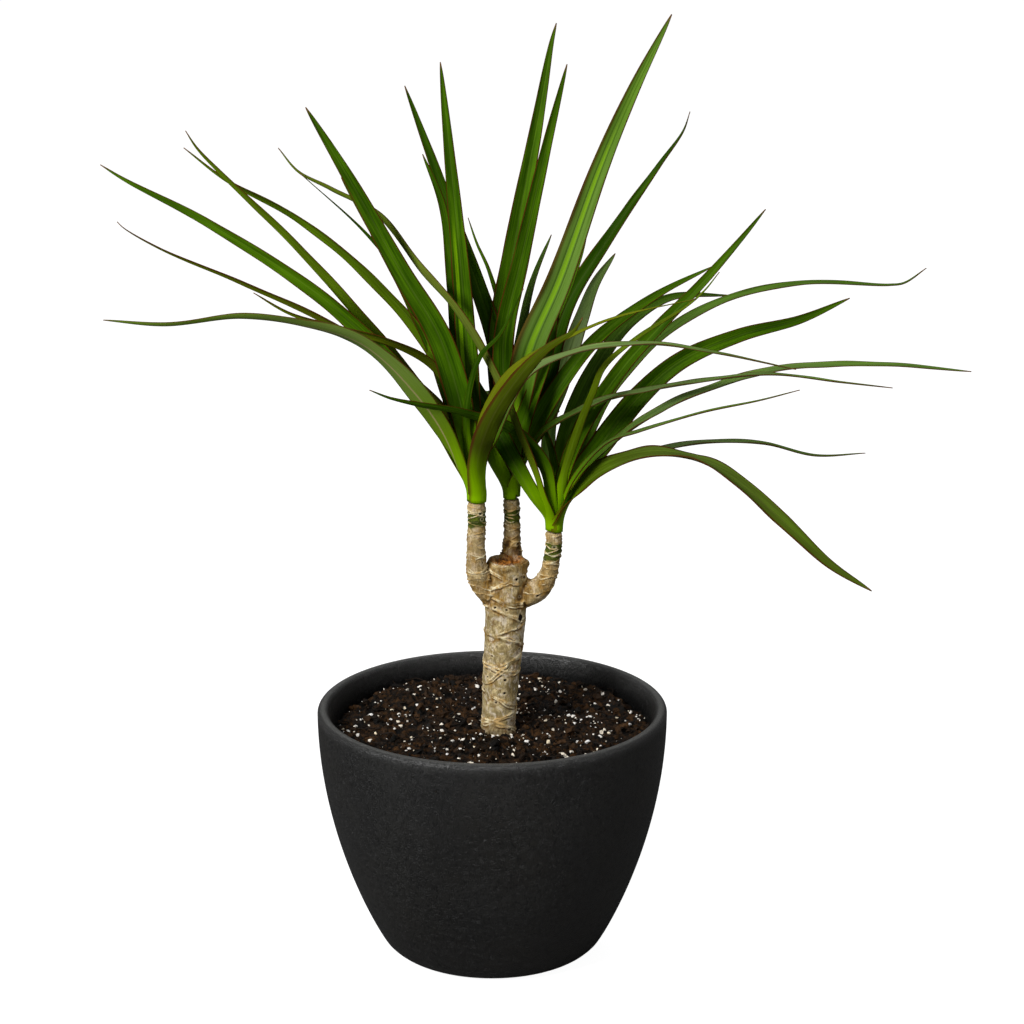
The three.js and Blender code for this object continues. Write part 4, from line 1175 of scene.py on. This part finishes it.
def leaf_pattern_group(name):
    """Midrib, parallel veins, margins and blotches of a blade, and the marks that its own leaf carries."""
    tree, n, given, put = group_tree(
        name, "ShaderNodeTree", {"Deep": "Color", "Bright": "Color", "Margin": "Color", "Veins": 1.0},
        {"Color": "Color", "Height": "Float", "Gloss": "Float"})
    across, half, reach, kind, along = (n.stored(key) for key in ("across", "half", "reach", "kind", "along"))
    stripe, margin = n.stored("stripe"), n.stored("margin")
    span = across * half
    size = n.math("ABSOLUTE", across)
    streak = n.noise(n.xyz(span * 1800.0, reach * 22.0, kind * 57.0), 1.0, 3.0, 0.6)
    blotch = n.noise(n.xyz(span * 260.0, reach * 30.0, kind * 91.0), 1.0, 3.0, 0.6)
    # each leaf's share of lit green is painted light and shade, with blotches and streaks at random
    tone = n.stored("tone") + (blotch - 0.5) * 0.9 + (streak - 0.5) * 0.9
    young = n.between((streak - 0.5) * 0.02 + reach, 0.008, 0.042, 1.0, 0.0)
    outer = n.between(reach, 0.03, 0.09) * n.between(along, 0.5, 0.85, 1.0, 0.5)
    # painted sheen: a pale grey highlight over the outer blade of the leaves that carry it
    pale = n.stored("pale") * outer * n.between(streak, 0.25, 0.7, 0.45, 1.0)
    # the lime stripe: the bright leaf's own stripe, and on the up leaf painted light on the lit half of its
    # fold
    aside = n.math("ABSOLUTE", across - n.stored("stripe_at"))
    beside = n.between(aside, 0.2, 0.27) * n.between(aside, 0.27, 0.4, 1.0, 0.0)
    lit = n.between(aside, 0.1, 0.22, 1.0, 0.0) * stripe
    lit = lit * n.between(along - n.stored("stripe_end"), -0.12, 0.0, 1.0, 0.0)
    lit = lit * n.between(streak, 0.2, 0.6, 0.5, 1.0)
    rib = n.between(size, 0.03, 0.1, 1.0, 0.0)
    edge = n.between(size, 0.86, 0.97) * n.between(streak, 0.2, 0.7, 0.6, 1.0)
    wide_edge = n.between(across * n.stored("margin_at"), 0.55, 0.9) * n.between(margin, 0.5, 1.0)
    edge = n.math("MAXIMUM", edge * n.between(margin, 0.0, 0.5, 0.3, 1.0), wide_edge * 0.8)
    colour = n.layers(
        n.mix(n.between(tone, 0.0, 1.0), given["Deep"], given["Bright"]),
        (n.stored("olive") * 0.75, LEAF["olive"]),
        (young * 0.85, LEAF["young base"]),
        (pale * 0.8, LEAF["painted_sheen"]),
        (beside * (stripe * 0.6), given["Deep"]),
        (lit * 0.8, LEAF["stripe"]),
        (rib * (n.stored("rib") * 0.6), LEAF["midrib"]),
        (edge, given["Margin"]),
        (n.between(along, 0.975, 1.0), LEAF["dry tip"]))
    veins = n.math("SINE", span * (math.tau / VEIN_PITCH))
    put(Color=colour, Height=(veins * 0.18 + streak - rib * 0.8) * given["Veins"], Gloss=streak)
    return tree


def leaf_material(name, deep, bright, margin, roughness, veins):
    n, skin = new_material(name)
    colour, height, gloss = shared(n, "leaf pattern", leaf_pattern_group, Deep=deep, Bright=bright,
                                   Margin=margin, Veins=veins)
    return skin(Base_Color=colour, Roughness=n.between(gloss, 0.25, 0.75, *roughness),
                Specular_IOR_Level=0.06, Specular_Tint=LEAF["sheen"],
                Normal=n.bump(height, strength=0.2, distance=0.0002))


# ---- stage ----

# Soft lights: (name, place, size, power in watts).
LIGHTS = [
    ("key", (-1.15, -1.3, 1.25), 0.8, 42),
    ("fill", (1.5, -1.3, 0.7), 1.2, 6),
    ("top", (0.2, 0.8, 1.9), 1.4, 8),
]
FLOOR_REACH = 12.0
LIT_SPOT = (0, 0, 0.2)  # what the lights point at


def floor_material(settings):
    """A pale floor that looks white to the camera, and throws only a little light back on the pot."""
    n, skin = new_material("pale floor")
    faint, _ = mottle(n, n.place(), blotch=3.0, speck=60.0, share=0.2)
    shade = tuple(0.985 * c for c in settings.floor_colour[:3]) + (1,)
    seen = n.seen()
    pale = n.mix(faint, settings.floor_colour, shade)
    lit = n.mix(1.0, pale, "#a0a0a0", "MULTIPLY")
    return skin(Base_Color=n.mix(seen, settings.bounce_colour, lit), Roughness=0.9, Specular_IOR_Level=0.0,
                Emission_Color=n.mix(seen, (0, 0, 0, 1), pale), Emission_Strength=settings.floor_glow)


def soft_room(settings):
    """Even light from all round, dimmer than the white that the camera sees behind the plant."""
    world = bpy.data.worlds.new("soft white room")
    world.use_nodes = True
    n = Nodes(world.node_tree)
    sky = world.node_tree.nodes["Background"]
    n.feed(sky.inputs["Color"], (1, 1, 1, 1))
    n.feed(sky.inputs["Strength"], n.seen() * (1 - settings.sky) + settings.sky)
    return world


# ---- settings ----


def colour_setting(name, description, code):
    return bpy.props.FloatVectorProperty(name=name, description=description, subtype="COLOR", size=4,
                                         min=0, max=1, default=paint(code))


def length_setting(name, description, millimetres):
    return bpy.props.FloatProperty(name=name, description=description, unit="LENGTH", precision=5,
                                   default=millimetres * MM)


def share_setting(name, description, share):
    return bpy.props.FloatProperty(name=name, description=description, default=share, min=0)


class PotSettings(bpy.types.PropertyGroup):
    sides: bpy.props.IntProperty(name="Sides", description="Sides of the turned bowl", default=192, min=32)
    grain: length_setting("Grain", "Size of the fine leathery grain", 1.1)
    colour: colour_setting("Colour", "Charcoal of the bowl", "#181818")
    light_colour: colour_setting("Light colour", "Paler flecks in the charcoal", "#20201f")
    warm_colour: colour_setting("Warm colour", "Faint warm dust on the bowl", "#211e18")
    crease_colour: colour_setting("Crease colour", "Fine creases of the leathery grain", "#090908")
    # painted highlight: a colour that lightens the top of the lip
    lip_colour: colour_setting("Lip colour", "Worn top of the lip", "#3c3c3b")
    inside_colour: colour_setting("Inside colour", "Shaded inside of the bowl", "#070707")


class SoilSettings(bpy.types.PropertyGroup):
    crumb: length_setting("Crumb size", "Size of the largest crumbs", 5.0)
    perlite: length_setting("Perlite size", "Size of the largest perlite grains", 2.2)
    fibre: length_setting("Fibre length", "Length of the longest fibres", 11)
    dark_colour: colour_setting("Dark colour", "Damp peat", "#070401")
    brown_colour: colour_setting("Brown colour", "Drier bark and fibre", "#4a3015")
    perlite_colour: colour_setting("Perlite colour", "White perlite", "#ffffff")


class TrunkSettings(bpy.types.PropertyGroup):
    detail: length_setting("Detail", "Size of the mesh's cells", 0.4)
    scar_height: length_setting("Scar height", "How far the leaf scars stand out", 0.5)
    pores: bpy.props.IntProperty(name="Pores", description="Dark pits in the bark", default=70, min=0)
    bark_colour: colour_setting("Bark colour", "Pale dry bark", "#ecd7a2")
    grey_colour: colour_setting("Grey colour", "Weathered grey bark", "#ae9964")


class CrownSettings(bpy.types.PropertyGroup):
    step: length_setting("Step", "Distance between sections of a blade", 1.6)
    thickness: length_setting("Thickness", "Thickness of a blade", 0.42)
    opening: length_setting("Opening", "How soon a rolled leaf base opens into a flat blade", 30)
    points_across: bpy.props.IntProperty(name="Points across", description="Mesh points across a blade",
                                         default=13, min=5)
    deep_colour: colour_setting("Deep colour", "Shaded green", "#203d01")
    bright_colour: colour_setting("Bright colour", "Lit green", "#56800a")
    under_colour: colour_setting("Underside colour", "Paler green of the underside", "#4a7a08")
    margin_colour: colour_setting("Margin colour", "Maroon margin of the blades", "#4d150c")


class StageSettings(bpy.types.PropertyGroup):
    floor_colour: colour_setting("Floor colour", "Pale floor", "#f8f8f8")
    bounce_colour: colour_setting("Bounce colour", "What the floor throws back on the plant", "#6a6a6a")
    floor_glow: share_setting("Floor glow", "How far the floor is lifted towards white", 1.02)
    light: share_setting("Lights", "Strength of the soft lights", 1.0)
    sky: share_setting("Sky", "Strength of the even light all round", 0.16)
    lens: bpy.props.FloatProperty(name="Lens", description="Focal length of the camera, in millimetres",
                                  default=122.4, min=1)


# ---- operators ----


class DRACAENA_OT_pot(bpy.types.Operator):
    """Make the bowl-shaped charcoal pot"""

    bl_idname = "dracaena.pot"
    bl_label = "Pot"

    def execute(self, context):
        settings = context.scene.dracaena_pot
        profile, outside = pot_profile()
        pot = turned_piece("pot_bowl", profile, outside, settings.sides, pot_material(settings))
        finish_piece(pot, stands_for=["pot"])
        return {"FINISHED"}


class DRACAENA_OT_soil(bpy.types.Operator):
    """Make the soil with its crumbs, perlite and fibres"""

    bl_idname = "dracaena.soil"
    bl_label = "Soil"

    def strew(self, name, tree, material, **values):
        places, faces, _ = soil_top(*GROUND_MESH)
        ground = mesh_object(name + "_ground", places * MM, faces)
        use_tree(ground, tree, Material=material, **values)
        piece = settle(ground, name, smooth=False)
        finish_piece(piece)

    def execute(self, context):
        settings = context.scene.dracaena_soil
        places, faces, shaded_crevice = soil_body()
        bed = mesh_object("soil_bed", places * MM, faces, attributes={"shaded_crevice": shaded_crevice})
        bed.data.shade_smooth()
        finish_piece(bed, [soil_material(settings)], stands_for=["soil"])
        grains = scatter_tree()
        crumb = crumb_material("bark crumbs", "#040301", settings.brown_colour, 1.8)
        self.strew("soil_crumbs", grains, crumb, Density=60000.0, Spacing=0.0017, Smallest=0.0012,
                   Largest=settings.crumb, Flatness=0.4, Slenderness=0.7, Roughness=1.1, Lift=0.12, Seed=3)
        white = crumb_material("perlite", "#efdfbf", settings.perlite_colour, 0.6)
        self.strew("soil_perlite", grains, white, Density=36000.0, Spacing=0.0019, Smallest=0.0006,
                   Largest=settings.perlite, Flatness=0.3, Slenderness=0.5, Roughness=1.2, Lift=0.34,
                   Seed=12)
        hair = crumb_material("fibres", "#1a1007", "#8a6236", 2.2)
        self.strew("soil_fibres", fibres_tree(), hair, Density=26000.0, Spacing=0.0042, Length=settings.fibre,
                   Thickness=0.00027, Curl=0.016, Seed=5)
        return {"FINISHED"}


class DRACAENA_OT_trunk(bpy.types.Operator):
    """Make the pruned cane with its three branches"""

    bl_idname = "dracaena.trunk"
    bl_label = "Trunk"

    def execute(self, context):
        settings = context.scene.dracaena_trunk
        trunk = build_trunk_mesh(settings)
        finish_piece(trunk, [bark_material(settings)], stands_for=["trunk"])
        return {"FINISHED"}


class DRACAENA_OT_crowns(bpy.types.Operator):
    """Make the three crowns of strap leaves"""

    bl_idname = "dracaena.crowns"
    bl_label = "Crowns"

    def execute(self, context):
        settings = context.scene.dracaena_crowns
        deep, margin = settings.deep_colour, settings.margin_colour
        top = leaf_material("leaf", deep, settings.bright_colour, margin, (0.42, 0.55), 1.0)
        below = leaf_material("leaf underside", deep, settings.under_colour, margin, (0.5, 0.62), 1.3)
        tree = blades_tree()
        for side in LEAVES:
            guides = crown_guides(side, settings)
            use_tree(guides, tree, Points_across=settings.points_across, Material=top)
            body = guides.modifiers.new("body", "SOLIDIFY")
            body.thickness = settings.thickness
            body.offset = 0
            body.material_offset = 1
            crown = settle(guides, "crown_leaves_" + side)
            finish_piece(crown, [top, below], stands_for=["crown_" + side])
        return {"FINISHED"}


class DRACAENA_OT_stage(bpy.types.Operator):
    """Make the pale floor, the soft lights and the camera"""

    bl_idname = "dracaena.stage"
    bl_label = "Stage"

    def execute(self, context):
        settings = context.scene.dracaena_stage
        scene = context.scene
        corners = FLOOR_REACH * np.array([(-1, -1, 0), (1, -1, 0), (1, 1, 0), (-1, 1, 0)])
        floor = mesh_object("stage_floor", corners, [(0, 1, 2, 3)])
        floor.data.materials.append(floor_material(settings))
        floor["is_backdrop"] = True
        scene.world = soft_room(settings)
        for name, place, size, power in LIGHTS:
            light = bpy.data.lights.new("light_" + name, "AREA")
            light.energy = power * settings.light
            light.shape = "DISK"
            light.size = size
            lamp = bpy.data.objects.new("light_" + name, light)
            scene.collection.objects.link(lamp)
            lamp.location = place
            aim = np.array(LIT_SPOT) - place
            flat = math.hypot(aim[0], aim[1])
            lamp.rotation_euler = (math.atan2(flat, -aim[2]), 0, math.atan2(aim[1], aim[0]) - math.pi / 2)
        camera = bpy.data.cameras.new("camera")
        camera.lens = settings.lens
        camera.sensor_width = 36
        camera.clip_end = 50
        viewer = bpy.data.objects.new("camera", camera)
        scene.collection.objects.link(viewer)
        viewer.location = tuple(EYE * MM)
        viewer.rotation_euler = (math.pi / 2 - CAMERA_TILT, 0, 0)
        scene.camera = viewer
        scene.view_settings.view_transform = "Standard"
        return {"FINISHED"}


class DRACAENA_PT_panel(bpy.types.Panel):
    """The plant's settings and the buttons that make its pieces"""

    bl_label = "Potted dracaena"
    bl_idname = "DRACAENA_PT_panel"
    bl_space_type = "VIEW_3D"
    bl_region_type = "UI"
    bl_category = "Dracaena"

    def draw(self, context):
        for operator, settings in PIECES:
            box = self.layout.box()
            box.operator(operator.bl_idname)
            group = getattr(context.scene, settings)
            for name in group.__annotations__:
                box.prop(group, name)


PIECES = [(DRACAENA_OT_pot, "dracaena_pot"), (DRACAENA_OT_soil, "dracaena_soil"),
          (DRACAENA_OT_trunk, "dracaena_trunk"), (DRACAENA_OT_crowns, "dracaena_crowns"),
          (DRACAENA_OT_stage, "dracaena_stage")]
SETTINGS = {"dracaena_pot": PotSettings, "dracaena_soil": SoilSettings, "dracaena_trunk": TrunkSettings,
            "dracaena_crowns": CrownSettings, "dracaena_stage": StageSettings}
CLASSES = [*SETTINGS.values(), *(operator for operator, _ in PIECES), DRACAENA_PT_panel]


def register():
    for made in CLASSES:
        bpy.utils.register_class(made)
    for name, group in SETTINGS.items():
        setattr(bpy.types.Scene, name, bpy.props.PointerProperty(type=group))


def unregister():
    for name in SETTINGS:
        delattr(bpy.types.Scene, name)
    for made in reversed(CLASSES):
        bpy.utils.unregister_class(made)


def main():
    register()
    bpy.ops.dracaena.pot()
    bpy.ops.dracaena.soil()
    bpy.ops.dracaena.trunk()
    bpy.ops.dracaena.crowns()
    bpy.ops.dracaena.stage()
    boxes = {"cad": CAD_BOX, "visual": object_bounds()}
    {name: [[float(v) for v in corner] for corner in box] for name, box in boxes.items()}


if __name__ == "__main__":
    main()
